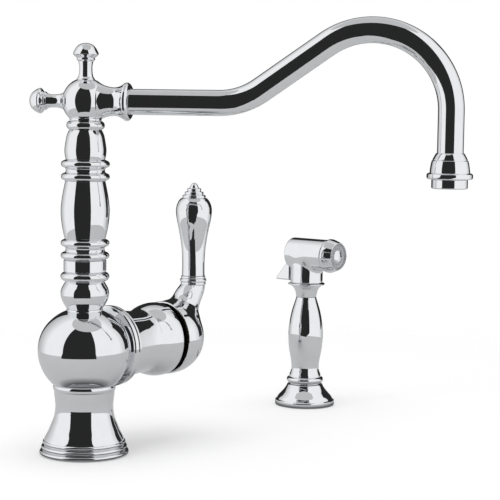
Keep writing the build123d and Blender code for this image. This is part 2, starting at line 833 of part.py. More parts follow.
def make_cartridge_housing():
    floor_start = cartridge_start - housing_floor
    narrow = collar_end + housing_neck_length
    ball_from = housing_middle - housing_shoulder
    join = sqrt(housing_radius ** 2 - housing_shoulder ** 2)
    end_radius = sqrt(housing_radius ** 2 - housing_nose ** 2)
    bore = cartridge_nut_radius + seat_gap
    housing = turned(
        (housing_cavity_radius, housing_start),
        (housing_spigot_radius, housing_start),
        (housing_spigot_radius, collar_end),
        (housing_foot_radius, collar_end),
        [(housing_neck_radius + 1.2, collar_end + 0.35 * housing_neck_length),
         (housing_neck_radius, narrow - 2.0),
         (housing_neck_radius + 0.1, narrow),
         (join - 0.9, ball_from - 1.6)],
        (join, ball_from),
        ((housing_radius, housing_middle), (end_radius, housing_end)),
        (bore, housing_end),
        (bore, nut_seat),
        (cartridge_radius + seat_gap, nut_seat),
        (cartridge_radius + seat_gap, cartridge_start),
        (0, cartridge_start),
        (0, floor_start),
        (housing_cavity_radius, floor_start))
    for x, y in port_places:
        housing -= rod(passage_radius, floor_start - 1, cartridge_start + 1, x, y)
        housing -= rod(pipe_radius + seat_gap, floor_start - 1, floor_start + pipe_socket, x, y)
    return along_x(housing)


def make_cartridge():
    """Ceramic disc cartridge with three ports and a recess for its turning disc."""
    body = rod(cartridge_radius, cartridge_start, nut_seat)
    body -= rod(disc_radius + running_fit, disc_seat, nut_seat + 1)
    body -= rod(cartridge_mouth_radius, disc_seat - cartridge_mouth_depth, disc_seat + 1)
    for x, y in port_places:
        body -= rod(passage_radius, cartridge_start - 1, disc_seat - cartridge_mouth_depth - 2, x, y)
        body -= rod(port_seal_radius + port_seal_section + seat_gap, cartridge_start - 1,
                    cartridge_start + 2 * port_seal_section, x, y)
    return along_x(body)


def make_cartridge_seals():
    rings = [Pos(x, y, cartridge_start + port_seal_section) * Torus(port_seal_radius, port_seal_section)
             for x, y in port_places]
    return Compound(children=[along_x(ring) for ring in rings])


def make_cartridge_nut():
    return along_x(tube(cartridge_nut_radius, disc_radius + 1.0, nut_seat, nut_seat + cartridge_nut_height))


ear_inside = stem_radius + turn_gap
ear_outside = ear_inside + ear_wall


def cross_pin(radius, half_width):
    """A cylinder along Y through the pivot, before it is laid along +X."""
    return Pos(0, 0, lever_pivot) * Rot(90, 0, 0) * Cylinder(radius, 2 * half_width)


def make_turning_disc():
    """The disc that the stem turns. Its slot lets the stem tilt, and its two ears carry the
    stem's cross pin."""
    start = disc_seat + turn_gap
    swing = stem_inner_length * sin(radians(lever_tilt)) + stem_radius + turn_gap
    disc = rod(disc_radius, start, start + disc_height)
    reach = lever_pivot - start
    upright = (Align.CENTER, Align.CENTER, Align.MIN)
    disc += Pos(0, 0, start) * Box(2 * ear_radius, 2 * ear_outside, reach, align=upright)
    disc += cross_pin(ear_radius, ear_outside)
    disc -= Pos(0, 0, start) * Box(2 * swing, 2 * ear_inside, 3 * reach)
    return along_x(disc - cross_pin(trunnion_radius + running_fit, 2 * ear_outside))


def make_lever_stem():
    stem = rod(stem_radius, lever_pivot - stem_inner_length, lever_pivot + stem_outer_length)
    return along_x(stem + cross_pin(trunnion_radius, ear_outside))


def at_pivot(piece):
    return Pos(lever_pivot, 0, ball_height) * piece


def horn_section(place, lean, radius):
    """A disc across the horn, at a place (out, up) from the pivot, that faces up at lean
    degrees."""
    facing = (cos(radians(lean)), 0, sin(radians(lean)))
    middle = (lever_pivot + place[0], 0, ball_height + place[1])
    return Plane(origin=middle, x_dir=(0, 1, 0), z_dir=facing) * Circle(radius)


def make_horn():
    """A cone that leaves the dome at horn_lean, and an elbow that tapers up to the handle."""
    out = cos(radians(horn_lean))
    up = sin(radians(horn_lean))
    elbow_top = horn_top_height - horn_straight
    bend = (elbow_top * out - handle_offset * up) / (1 - up)

    def on_elbow(lean):
        turn = radians(lean)
        return (handle_offset - bend + bend * sin(turn), elbow_top - bend * cos(turn))

    middle = (horn_lean + 90) / 2
    neck = horn_section(on_elbow(horn_lean), horn_lean, horn_neck_radius)
    base = horn_section((horn_start * out, horn_start * up), horn_lean, horn_base_radius)
    horn = loft([base, neck], ruled=True)
    horn += loft([
        neck,
        horn_section(on_elbow(middle), middle, (horn_neck_radius + horn_top_radius) / 2),
        horn_section(on_elbow(90), 90, horn_top_radius)])
    horn += at_pivot(rod(horn_top_radius, elbow_top, horn_top_height, handle_offset))
    return horn - at_pivot(Sphere(dome_radius - dome_wall / 2))


def make_lever_dome():
    body = along_x(lever_shell()) + make_horn()
    body -= rod(lever_screw_radius + seat_gap, ball_height - 2 * dome_radius, ball_height,
                lever_pivot + lever_screw_place)
    return body - rod(handle_stud_radius + seat_gap, handle_ring_bottom - handle_stud_length - 0.5,
                      handle_ring_bottom + 1, handle_axis)


def lever_shell():
    """The hollow dome with the boss that holds the stem."""
    inner = dome_radius - dome_wall
    half = 1 / sqrt(2)
    boss_end = lever_pivot + sqrt(inner ** 2 - lever_boss_radius ** 2)
    stem_hole = lever_pivot + stem_outer_length + seat_gap
    return turned(
        (sqrt(inner ** 2 - lever_skirt ** 2), lever_rim),
        (sqrt(dome_radius ** 2 - lever_skirt ** 2), lever_rim),
        ((dome_radius * half, lever_pivot + dome_radius * half), (0, lever_pivot + dome_radius)),
        (0, stem_hole),
        (stem_radius + seat_gap, stem_hole),
        (stem_radius + seat_gap, lever_pivot + lever_boss_start),
        (lever_boss_radius, lever_pivot + lever_boss_start),
        (lever_boss_radius, boss_end),
        ((inner * half, lever_pivot + inner * half), (sqrt(inner ** 2 - lever_skirt ** 2), lever_rim)))


def make_lever_screw():
    top = ball_height - stem_radius
    return rod(lever_screw_radius, top - lever_screw_length, top, lever_pivot + lever_screw_place)


def at_handle(piece):
    return Pos(handle_axis, 0, 0) * piece


def make_handle_ring():
    lowest = handle_ring_bottom + 0.28 * handle_ring_height
    middle = handle_ring_bottom + 0.72 * handle_ring_height
    bore = handle_stud_radius + seat_gap
    return at_handle(turned(
        (bore, handle_ring_bottom),
        *bead(handle_ring_radius - 0.6, 0.4, handle_ring_bottom, lowest),
        *bead(handle_ring_radius, 0.8, lowest, middle),
        *bead(handle_ring_radius - 0.9, 0.4, middle, handle_bottom),
        (bore, handle_bottom)))


def make_lever_handle():
    def at(share):
        return handle_bottom + share * (handle_height - handle_shoulder_height)

    return at_handle(turned(
        (0, handle_ring_bottom - handle_stud_length),
        (handle_stud_radius, handle_ring_bottom - handle_stud_length),
        (handle_stud_radius, handle_bottom),
        (handle_foot_radius, handle_bottom),
        [(handle_foot_radius + 0.1, at(0.27)),
         (handle_foot_radius + 0.8, at(0.457)),
         (handle_foot_radius + 2.3, at(0.648)),
         (handle_radius - 1.1, at(0.832)),
         (handle_radius, at(1.0)),
         (handle_radius - 1.1, at(1.0) + 0.55 * handle_shoulder_height),
         (handle_shoulder_radius, tip_bottom)],
        (tip_stud_radius + seat_gap, tip_bottom),
        (tip_stud_radius + seat_gap, tip_bottom - tip_stud_length - 0.5),
        (0, tip_bottom - tip_stud_length - 0.5)))


def make_handle_tip():
    """Stepped knob with a small cone on top and a stud that screws into the handle."""
    tier = tip_height / (tip_tiers + 2)
    steps = []
    for number in range(tip_tiers):
        bottom = tip_bottom + number * tier
        steps += bead(tip_radius - number * tip_step, 0.6, bottom, bottom + tier)
    cone_bottom = tip_bottom + tip_tiers * tier
    cone_radius = tip_radius - tip_tiers * tip_step
    return at_handle(turned(
        (0, tip_bottom - tip_stud_length),
        (tip_stud_radius, tip_bottom - tip_stud_length),
        (tip_stud_radius, tip_bottom),
        *steps,
        (cone_radius, cone_bottom),
        [(cone_radius * 0.85, cone_bottom + 0.9 * tier), (0, tip_bottom + tip_height)]))


# ---- side spray ------------------------------------------------------------------------
def make_spray_flange():
    def at(share):
        return flange_lip + share * (flange_height - flange_lip)

    flange = turned(
        (flange_bore_radius, 0),
        (flange_radius - 0.5, 0),
        (flange_radius, 0.5),
        (flange_radius, flange_lip - 1.2),
        [(flange_radius - 0.6, flange_lip),
         (flange_radius - 5.2, at(0.42)),
         (flange_top_radius + 2.9, at(0.63)),
         (flange_top_radius + 1.2, at(0.82)),
         (flange_top_radius, at(1.0))],
        (flange_bore_radius, flange_height))
    outer = flange_radius - 1.4
    return at_spray(flange - tube(outer, outer - gasket_width, -1, gasket_height))


def make_spray_gasket():
    outer = flange_radius - 1.4
    return at_spray(tube(outer - seat_gap, outer - gasket_width + seat_gap, 0, gasket_height))


nipple_bore = nipple_radius + turn_gap
grip_tube_radius = grip_bore_radius - seat_gap
grip_passage_radius = grip_tube_radius - grip_tube_wall
nipple_bottom = ferrule_bottom - nipple_length
tube_bottom = grip_bottom + nipple_spigot_length / 2


def make_holder_bush():
    bottom = flange_height - holder_height
    return at_spray(tube(flange_bore_radius - seat_gap, nipple_bore, bottom, flange_height))


def make_hose_nipple():
    top = grip_bottom + nipple_spigot_length
    nipple = rod(nipple_radius, nipple_bottom, grip_bottom)
    nipple += rod(nipple_spigot_radius, grip_bottom, top)
    nipple -= rod(nipple_thread_radius, nipple_bottom - 1, nipple_bottom + nipple_thread_length)
    nipple -= rod(grip_passage_radius, nipple_bottom, top + 1)
    return at_spray(nipple - rod(grip_bore_radius, tube_bottom, top + 1))


def make_spray_ferrule():
    bead_bottom = ferrule_bottom + 0.28 * ferrule_height
    bead_top = ferrule_bottom + 0.9 * ferrule_height
    return at_spray(turned(
        (nipple_radius + seat_gap, ferrule_bottom),
        (flange_top_radius - 0.3, ferrule_bottom),
        (flange_top_radius - 0.3, bead_bottom),
        *bead(ferrule_radius, 1.1, bead_bottom, bead_top),
        (grip_foot_radius + 0.5, grip_bottom),
        (nipple_radius + seat_gap, grip_bottom)))


def make_spray_grip():
    def at(share):
        return grip_bottom + share * grip_height

    grip = turned(
        (grip_bore_radius, grip_bottom),
        (grip_foot_radius + 0.4, grip_bottom),
        [(grip_foot_radius - 1.0, at(0.06)),
         (grip_ankle_radius, at(0.12)),
         (grip_ankle_radius + 1.1, at(0.25)),
         (grip_radius - 0.5, at(0.4)),
         (grip_radius, at(0.52)),
         (grip_radius - 0.5, at(0.63)),
         (grip_radius - 1.6, at(0.74)),
         (grip_neck_radius + 3.2, at(0.855)),
         (grip_neck_radius + 1.2, at(0.93)),
         (grip_neck_radius, at(1.0))],
        (grip_bore_radius, at(1.0)))
    socket_top = grip_bottom + nipple_spigot_length + seat_gap
    return at_spray(grip - rod(nipple_spigot_radius + seat_gap, grip_bottom - 1, socket_top))


def make_grip_tube():
    return at_spray(tube(grip_tube_radius, grip_passage_radius, tube_bottom, head_bottom + head_socket))


def make_spray_nut():
    def at(share):
        return spray_nut_bottom + share * spray_nut_height

    nut = turned(
        (grip_bore_radius, spray_nut_bottom),
        (grip_neck_radius, spray_nut_bottom),
        [(grip_neck_radius + 0.5, at(0.25)), (grip_neck_radius + 1.3, at(0.47)),
         (grip_neck_radius + 3.0, at(0.67)), (grip_neck_radius + 5.4, at(0.82))],
        *bead(spray_nut_radius, 0.7, at(0.83), at(1.0)),
        (grip_bore_radius, at(1.0)))
    socket_bottom = head_bottom - head_stud_length - seat_gap
    return at_spray(nut - rod(head_stud_radius + seat_gap, socket_bottom, head_bottom + 1))


trigger_face = head_radius - 0.8
trigger_bottom = head_bottom + 1.6
trigger_tip = barrel_back + trigger_reach
trigger_top = trigger_bottom + trigger_height
pin_height = trigger_top - 0.9
pin_place = trigger_face - 0.9
slot_half = trigger_width / 2 + turn_gap
slot_top = pin_height + trigger_knuckle + 0.5
slot_floor = pin_place - trigger_knuckle - 0.7
plunger_height = pin_height - plunger_arm


def across(radius, half_width, y, z):
    """A cylinder along X through the middle of the spray head."""
    return Pos(spray_offset, y, z) * Rot(0, 90, 0) * Cylinder(radius, 2 * half_width)


def along_y(radius, front, back, z):
    """A cylinder along Y through the middle of the spray head."""
    return Pos(spray_offset, back, z) * Rot(90, 0, 0) * rod(radius, 0, back - front)


def make_spray_head():
    barrel = fillet(rod(barrel_radius, -barrel_back, barrel_front).edges().sort_by(Axis.Z)[0], 1.6)
    head = at_spray(rod(head_radius, head_bottom, barrel_height)) + at_barrel(barrel)
    head += at_spray(rod(head_stud_radius, head_bottom - head_stud_length, head_bottom))
    tube_end = head_bottom + head_socket + seat_gap
    head -= at_spray(rod(grip_bore_radius, head_bottom - head_stud_length - 1, tube_end))
    head -= at_spray(rod(grip_passage_radius, head_bottom, barrel_height))
    head -= at_barrel(rod(grip_passage_radius, 0, barrel_front))
    head -= at_barrel(rod(bezel_spigot_radius + seat_gap, barrel_front - chamber_depth, barrel_front + 1))
    hanging = (Align.CENTER, Align.MIN, Align.MAX)
    slot = Box(2 * slot_half, 2 * barrel_back, slot_top - head_bottom + 1, align=hanging)
    head -= Pos(spray_offset, slot_floor, slot_top) * slot
    head -= along_y(plunger_radius + running_fit, 0, barrel_back, plunger_height)
    return head - across(trigger_pin_radius + seat_gap, pin_half_length + seat_gap, pin_place, pin_height)


def make_nozzle_bezel():
    end = barrel_front + bezel_length
    bezel = turned(
        (face_radius + seat_gap, barrel_front + 1.5),
        (bezel_spigot_radius - 2.0, barrel_front + 1.5),
        (bezel_spigot_radius - 2.0, barrel_front - bezel_spigot_length),
        (bezel_spigot_radius, barrel_front - bezel_spigot_length),
        (bezel_spigot_radius, barrel_front),
        (barrel_radius, barrel_front),
        (bezel_radius, barrel_front + 1.4),
        (bezel_radius, end - 1.6),
        ((bezel_radius - 0.5, end - 0.4), (bezel_radius - 1.4, end)),
        (face_radius + seat_gap, end))
    return at_barrel(bezel)


def make_nozzle_face():
    back = barrel_front + 1.5
    front = barrel_front + bezel_length - face_recess
    face = turned(
        (plug_radius + seat_gap, front - face_height),
        (face_radius - 1.6, front - face_height),
        (face_radius - 1.6, back),
        (face_radius, back),
        (face_radius, front - 0.6),
        (face_ring_radius + 0.5, front - 0.6),
        (face_ring_radius, front),
        (plug_radius + 1.6, front),
        (plug_radius + 1.0, front - 0.8),
        (plug_radius + seat_gap, front - 0.8))
    for pitch in (face_ring_radius - 1.2, face_ring_radius + 1.9):
        face -= ring_of_holes(spray_hole_radius, pitch, spray_hole_count, back, front + 1)
    return at_barrel(face)


def make_nozzle_plug():
    front = barrel_front + bezel_length - face_recess
    plug = fillet(rod(plug_radius, front - face_height, front + 0.4).edges().sort_by(Axis.Z)[-1], 0.6)
    return at_barrel(plug + rod(plug_radius + 1.5, front - face_height - 1.2, front - face_height))


def make_trigger_pin():
    return across(trigger_pin_radius, pin_half_length, pin_place, pin_height)


def make_spray_trigger():
    profile = outline(
        (trigger_face, trigger_bottom),
        (trigger_tip - 1.4, trigger_bottom),
        ((trigger_tip - 0.2, trigger_bottom + 0.5), (trigger_tip - 0.4, trigger_bottom + 1.6)),
        (barrel_back + turn_gap, trigger_top),
        (trigger_face, trigger_top))
    wedge = Pos(spray_offset, 0, 0) * extrude(Plane.YZ * profile, amount=trigger_width / 2, both=True)
    wedge += across(trigger_knuckle, trigger_width / 2, pin_place, pin_height)
    wedge -= across(trigger_knuckle + 0.5, spring_pocket / 2, pin_place, pin_height)
    return wedge - across(trigger_pin_radius + running_fit, trigger_width, pin_place, pin_height)


def make_trigger_spring():
    spring = coil(trigger_pin_radius + 1.0, spring_wire, spring_turns, -spring_pocket / 2, spring_pocket / 2)
    return Pos(spray_offset, pin_place, pin_height) * Rot(0, 90, 0) * spring


def make_valve_plunger():
    back = trigger_face - seat_gap
    shaft = along_y(plunger_radius, back - plunger_length, back, plunger_height)
    dome_middle = back - plunger_dome
    dome = Pos(spray_offset, dome_middle, plunger_height) * Sphere(plunger_dome)
    return shaft & (dome + along_y(plunger_radius, back - plunger_length - 1, dome_middle, plunger_height))


# ---- files -----------------------------------------------------------------------------
nodes = {
    "base_ring": make_base_ring(),
    "base_gasket": make_base_gasket(),
    "pedestal": make_pedestal(),
    "shank_block": make_shank_block(),
    "supply_pipes": make_supply_pipes(),
    "mixed_pipe": make_mixed_pipe(),
    "feed_pipe": make_feed_pipe(),
    "ball_body": make_ball_body(),
    "diverter_body": make_diverter_body(),
    "diverter_piston": make_diverter_piston(),
    "diverter_spring": make_diverter_spring(),
    "spring_retainer": make_spring_retainer(),
    "port_collar": make_port_collar(),
    "cartridge_housing": make_cartridge_housing(),
    "cartridge": make_cartridge(),
    "cartridge_seals": make_cartridge_seals(),
    "cartridge_nut": make_cartridge_nut(),
    "turning_disc": make_turning_disc(),
    "lever_stem": make_lever_stem(),
    "lever_dome": make_lever_dome(),
    "lever_screw": make_lever_screw(),
    "handle_ring": make_handle_ring(),
    "lever_handle": make_lever_handle(),
    "handle_tip": make_handle_tip(),
    "column_foot": make_column_foot(),
    "lower_bead_ring": make_bead_ring(lower_beads_bottom),
    "lower_barrel": make_lower_barrel(),
    "upper_bead_ring": make_bead_ring(upper_beads_bottom),
    "upper_barrel": make_upper_barrel(),
    "swivel_collar": make_swivel_collar(),
    "riser_tube": make_riser(),
    "swivel_post": make_swivel_post(),
    "post_rings": make_post_rings(),
    "hub": make_hub(),
    "swivel_bush": make_swivel_bush(),
    "top_finial": make_top_finial(),
    "side_finial": make_side_finial(),
    "spout_nut": make_spout_nut(),
    "spout_tube": make_spout_tube(),
    "spout_seal": make_spout_seal(),
    "outlet_cap": make_outlet_cap(),
    "aerator_shell": make_aerator_shell(),
    "aerator_insert": make_aerator_insert(),
    "aerator_washer": make_aerator_washer(),
    "spray_flange": make_spray_flange(),
    "spray_gasket": make_spray_gasket(),
    "holder_bush": make_holder_bush(),
    "hose_nipple": make_hose_nipple(),
    "spray_ferrule": make_spray_ferrule(),
    "spray_grip": make_spray_grip(),
    "grip_tube": make_grip_tube(),
    "spray_nut": make_spray_nut(),
    "spray_head": make_spray_head(),
    "nozzle_bezel": make_nozzle_bezel(),
    "nozzle_face": make_nozzle_face(),
    "nozzle_plug": make_nozzle_plug(),
    "trigger_pin": make_trigger_pin(),
    "trigger_spring": make_trigger_spring(),
    "spray_trigger": make_spray_trigger(),
    "valve_plunger": make_valve_plunger(),
}

os.makedirs("parts", exist_ok=True)
for name, piece in nodes.items():
    export_step(piece, f"parts/{name}.step")
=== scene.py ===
import json
import math

import bpy
import numpy as np
from mathutils import Matrix, Vector


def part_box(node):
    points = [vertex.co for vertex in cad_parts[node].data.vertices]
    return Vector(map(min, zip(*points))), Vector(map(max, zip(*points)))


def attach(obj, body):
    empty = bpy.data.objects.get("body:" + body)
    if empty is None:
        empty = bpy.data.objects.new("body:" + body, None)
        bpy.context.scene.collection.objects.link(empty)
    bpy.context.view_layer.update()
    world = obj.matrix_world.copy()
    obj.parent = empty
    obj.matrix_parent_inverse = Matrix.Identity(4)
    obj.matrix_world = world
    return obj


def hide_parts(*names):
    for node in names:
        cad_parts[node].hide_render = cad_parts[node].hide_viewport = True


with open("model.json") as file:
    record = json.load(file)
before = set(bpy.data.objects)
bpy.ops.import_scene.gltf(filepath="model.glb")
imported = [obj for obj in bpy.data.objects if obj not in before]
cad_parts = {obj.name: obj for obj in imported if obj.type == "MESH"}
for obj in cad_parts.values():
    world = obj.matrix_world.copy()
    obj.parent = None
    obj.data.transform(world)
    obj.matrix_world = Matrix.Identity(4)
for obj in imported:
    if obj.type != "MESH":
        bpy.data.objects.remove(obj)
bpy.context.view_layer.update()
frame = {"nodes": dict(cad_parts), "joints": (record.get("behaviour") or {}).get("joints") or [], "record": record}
mm = 0.001
quarterTurn = math.pi / 2
print("frame loaded:", len(frame["nodes"]), "nodes")


# a node's lowest corner, its highest corner and its middle, and a joint's place, all in mm
def lowest(node):
    return np.array(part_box(node)[0]) / mm


def highest(node):
    return np.array(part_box(node)[1]) / mm


def middle(node):
    return (lowest(node) + highest(node)) / 2


def jointPlace(name):
    found = [joint for joint in frame["joints"] if joint["name"] == name]
    return np.array(found[0]["pos_m"]) / mm


bodyOf = {node: body for body, nodes in frame["record"]["behaviour"]["bodies"].items() for node in nodes}
leverHeight = jointPlace("lever_turn")[2]
leverPivot = jointPlace("lever_tilt")[0]
hubHeight = jointPlace("spout_swivel")[2]
handleAxis = middle("handle_ring")[0]
sprayOffset = middle("spray_flange")[0]
barrelHeight = middle("nozzle_bezel")[2]
outletX, outletY = middle("aerator_shell")[:2]
spoutAngle = math.atan2(outletY, outletX)
spoutReach = math.hypot(outletX, outletY)
triggerPivot = middle("trigger_pin")


# where a turned piece's axis stands: upright at a point, or level along an angle seen from above
def upright(x=0.0, y=0.0, z=0.0):
    return Matrix.Translation((x * mm, y * mm, z * mm))


def sideways(angle, x=0.0, y=0.0, z=0.0):
    turn = Matrix.Rotation(angle, 4, "Z") @ Matrix.Rotation(quarterTurn, 4, "Y")
    return upright(x, y, z) @ turn


column = upright()
outletLine = upright(outletX, outletY)
handleLine = upright(handleAxis)
sprayLine = upright(sprayOffset)
leverAxis = sideways(0.0, z=leverHeight)
spoutAxis = sideways(spoutAngle, z=hubHeight)
backAxis = sideways(spoutAngle + math.pi, z=hubHeight)
nozzleAxis = sideways(-quarterTurn, x=sprayOffset, z=barrelHeight)


# The strokes of a turned piece's outline are (radius, height) in mm.
# A line runs straight from point to point.
def line(*points):
    return np.array(points, float)


# Points of a circle from one angle to another, in degrees: centre plus radius times (cos, sin).
def arc(centre, radius, start, end, count=60):
    turn = np.radians(np.linspace(start, end, count))
    return np.array(centre, float) + radius * np.stack([np.cos(turn), np.sin(turn)], 1)


# A circular arc from start to end that stands out by rise, to the right of the way it goes.
def bow(start, end, rise, count=40):
    start, end = np.array(start, float), np.array(end, float)
    chord = end - start
    half = np.hypot(*chord) / 2
    radius = (half ** 2 + rise ** 2) / (2 * rise)
    out = np.array([chord[1], -chord[0]]) / (2 * half)
    centre = (start + end) / 2 + out * (rise - radius)
    reach = math.atan2(half, radius - rise)
    turn = np.linspace(-reach, reach, count)
    along = chord / (2 * half)
    return centre + radius * (np.cos(turn)[:, None] * out + np.sin(turn)[:, None] * along)


# A smooth curve through the points: a cubic on each span, with each point's slope taken from its neighbours.
def flow(*points, count=20):
    knots = np.array(points, float)
    span = np.hypot(*np.diff(knots, axis=0).T)
    place = np.concatenate([[0], np.cumsum(span)])
    rate = np.diff(knots, axis=0) / span[:, None]
    slope = np.empty_like(knots)
    weight = span[1:, None] / (span[:-1] + span[1:])[:, None]
    slope[1:-1] = rate[:-1] * weight + rate[1:] * (1 - weight)
    slope[0] = 1.5 * rate[0] - 0.5 * slope[1]
    slope[-1] = 1.5 * rate[-1] - 0.5 * slope[-2]
    where = np.unique(np.concatenate([np.linspace(a, b, count) for a, b in zip(place[:-1], place[1:])]))
    step = np.clip(np.searchsorted(place, where, side="right") - 1, 0, len(span) - 1)
    t = ((where - place[step]) / span[step])[:, None]
    width = span[step][:, None]
    return ((1 + 2 * t) * (1 - t) ** 2 * knots[step] + t * (1 - t) ** 2 * width * slope[step]
            + t ** 2 * (3 - 2 * t) * knots[step + 1] - t ** 2 * (1 - t) * width * slope[step + 1])


# A mesh of points in mm, already in the frame, and of faces: arrays of corner numbers, one for each count.
def meshPiece(name, points, faces, normals=None):
    mesh = bpy.data.meshes.new(name)
    mesh.from_pydata(points * mm, [], [corner for rows in faces for corner in rows.tolist()])
    mesh.polygons.foreach_set("use_smooth", np.ones(len(mesh.polygons), bool))
    if normals is not None:
        mesh.normals_split_custom_set_from_vertices(normals)
    mesh.update()
    piece = bpy.data.objects.new(name, mesh)
    bpy.context.scene.collection.objects.link(piece)
    return piece


# points about a piece's own axis, turned and moved to where that axis stands
def inFrame(points, place):
    return points @ np.array(place.to_3x3()).T + np.array(place.translation) / mm


# Faces over rings of points: quads from each ring to the next, and from the last to the first if closed.
# Otherwise a fan of triangles closes each end, about one of the two points that follow the rings.
def ringFaces(rings, around, closed=False):
    here, rows = np.arange(around), np.arange(rings)
    following = (here + 1) % around
    below = (rows if closed else rows[:-1])[:, None] * around
    above = (np.roll(rows, -1) if closed else rows[1:])[:, None] * around
    quads = np.stack([below + here, below + following, above + following, above + here], 2)
    faces = [quads.reshape(-1, 4)]
    if not closed:
        pole, last = np.full(around, rings * around), (rings - 1) * around
        faces.append(np.stack([pole, following, here], 1))
        faces.append(np.stack([pole + 1, last + here, last + following], 1))
    return faces


# the same faces with their corners taken the other way round
def flipped(faces):
    return [np.hstack([rows[:, :1], rows[:, :0:-1]]) for rows in faces]


# how finely an outline is cut: first evenly in mm, then a row for each so many degrees turned or mm run
outlineStep = {"fine": 0.06, "degrees": 5.0, "length": 1.5, "fewestRows": 8, "sameSpot": 1e-6}


# Even points along the outline, then each one the mean of those within the ease, so that corners turn round.
# Rows are then picked where turning and length add up. An open outline is mirrored in the axis at its ends.
def resample(outline, ease, closed):
    keep = np.concatenate([[True], np.hypot(*np.diff(outline, axis=0).T) > outlineStep["sameSpot"]])
    outline = outline[keep]
    if closed:
        outline = np.vstack([outline, outline[:1]])
    run = np.concatenate([[0], np.cumsum(np.hypot(*np.diff(outline, axis=0).T))])
    count = int(run[-1] / outlineStep["fine"])
    where = np.linspace(0, run[-1], count + 1)
    fine = np.stack([np.interp(where, run, outline[:, k]) for k in (0, 1)], 1)
    reach = max(1, int(ease / (2 * where[1])))
    if closed:
        fine = fine[:-1]
        padded = np.vstack([fine[-reach:], fine, fine[:reach]])
    else:
        mirror = np.array([-1, 1])
        padded = np.vstack([(fine[1:reach + 1] * mirror)[::-1], fine, (fine[-reach - 1:-1] * mirror)[::-1]])
    total = np.concatenate([[[0, 0]], np.cumsum(padded, axis=0)])
    soft = (total[2 * reach + 1:] - total[:-2 * reach - 1]) / (2 * reach + 1)
    if not closed:
        soft[[0, -1], 0] = 0.0
    way = np.diff(np.vstack([soft, soft[:1]]) if closed else soft, axis=0)
    heading = np.unwrap(np.arctan2(way[:, 1], way[:, 0]))
    turning = np.abs(np.diff(heading, append=heading[-1]))
    cost = np.degrees(turning) / outlineStep["degrees"] + np.hypot(*way.T) / outlineStep["length"]
    measure = np.concatenate([[0], np.cumsum(cost)])
    rows = max(outlineStep["fewestRows"], int(np.ceil(measure[-1])))
    pick = np.unique(np.searchsorted(measure, np.linspace(0, measure[-1], rows + 1)))
    return soft[pick[pick < len(soft)]]


# The outline turned about the axis: (r cos t, r sin t, height). A closed outline makes a ring, and an open
# one starts and ends on the axis, where one vertex closes it.
def lathe(name, strokes, place, base, ease=0.35, around=112, closed=False):
    outline = resample(np.vstack(list(strokes.values())), ease, closed)
    shifted = np.roll(outline, -1, axis=0)
    if np.sum(outline[:, 0] * shifted[:, 1] - shifted[:, 0] * outline[:, 1]) < 0:
        outline = outline[::-1]   # so that the faces point outwards
    body = outline if closed else outline[1:-1]
    turn = np.arange(around) * 2 * math.pi / around
    radius, height = body[:, :1], body[:, 1:]
    points = np.stack([radius * np.cos(turn), radius * np.sin(turn), height + 0 * turn], 2).reshape(-1, 3)
    if not closed:
        points = np.vstack([points, [0, 0, outline[0, 1]], [0, 0, outline[-1, 1]]])
    points[:, 2] += base
    return meshPiece(name, inFrame(points, place), ringFaces(len(body), around, closed))


# A circle carried along a flat path: path point plus radius times (cos t normal - sin t binormal).
def sweep(name, path, radius, binormal, around=96):
    ahead = np.gradient(path, axis=0)
    ahead /= np.linalg.norm(ahead, axis=1)[:, None]
    normal = np.cross(binormal, ahead)
    turn = np.arange(around) * 2 * math.pi / around
    ring = np.cos(turn)[None, :, None] * normal[:, None] + np.sin(turn)[None, :, None] * -binormal
    points = np.vstack([(path[:, None] + radius * ring).reshape(-1, 3), path[0], path[-1]])
    return meshPiece(name, points, flipped(ringFaces(len(path), around)))


# a slope is taken over two reaches, in mm, and points are moved to the surface in so many rounds
settling = {"reach": 0.02, "rounds": 5, "leastSlope": 0.2}


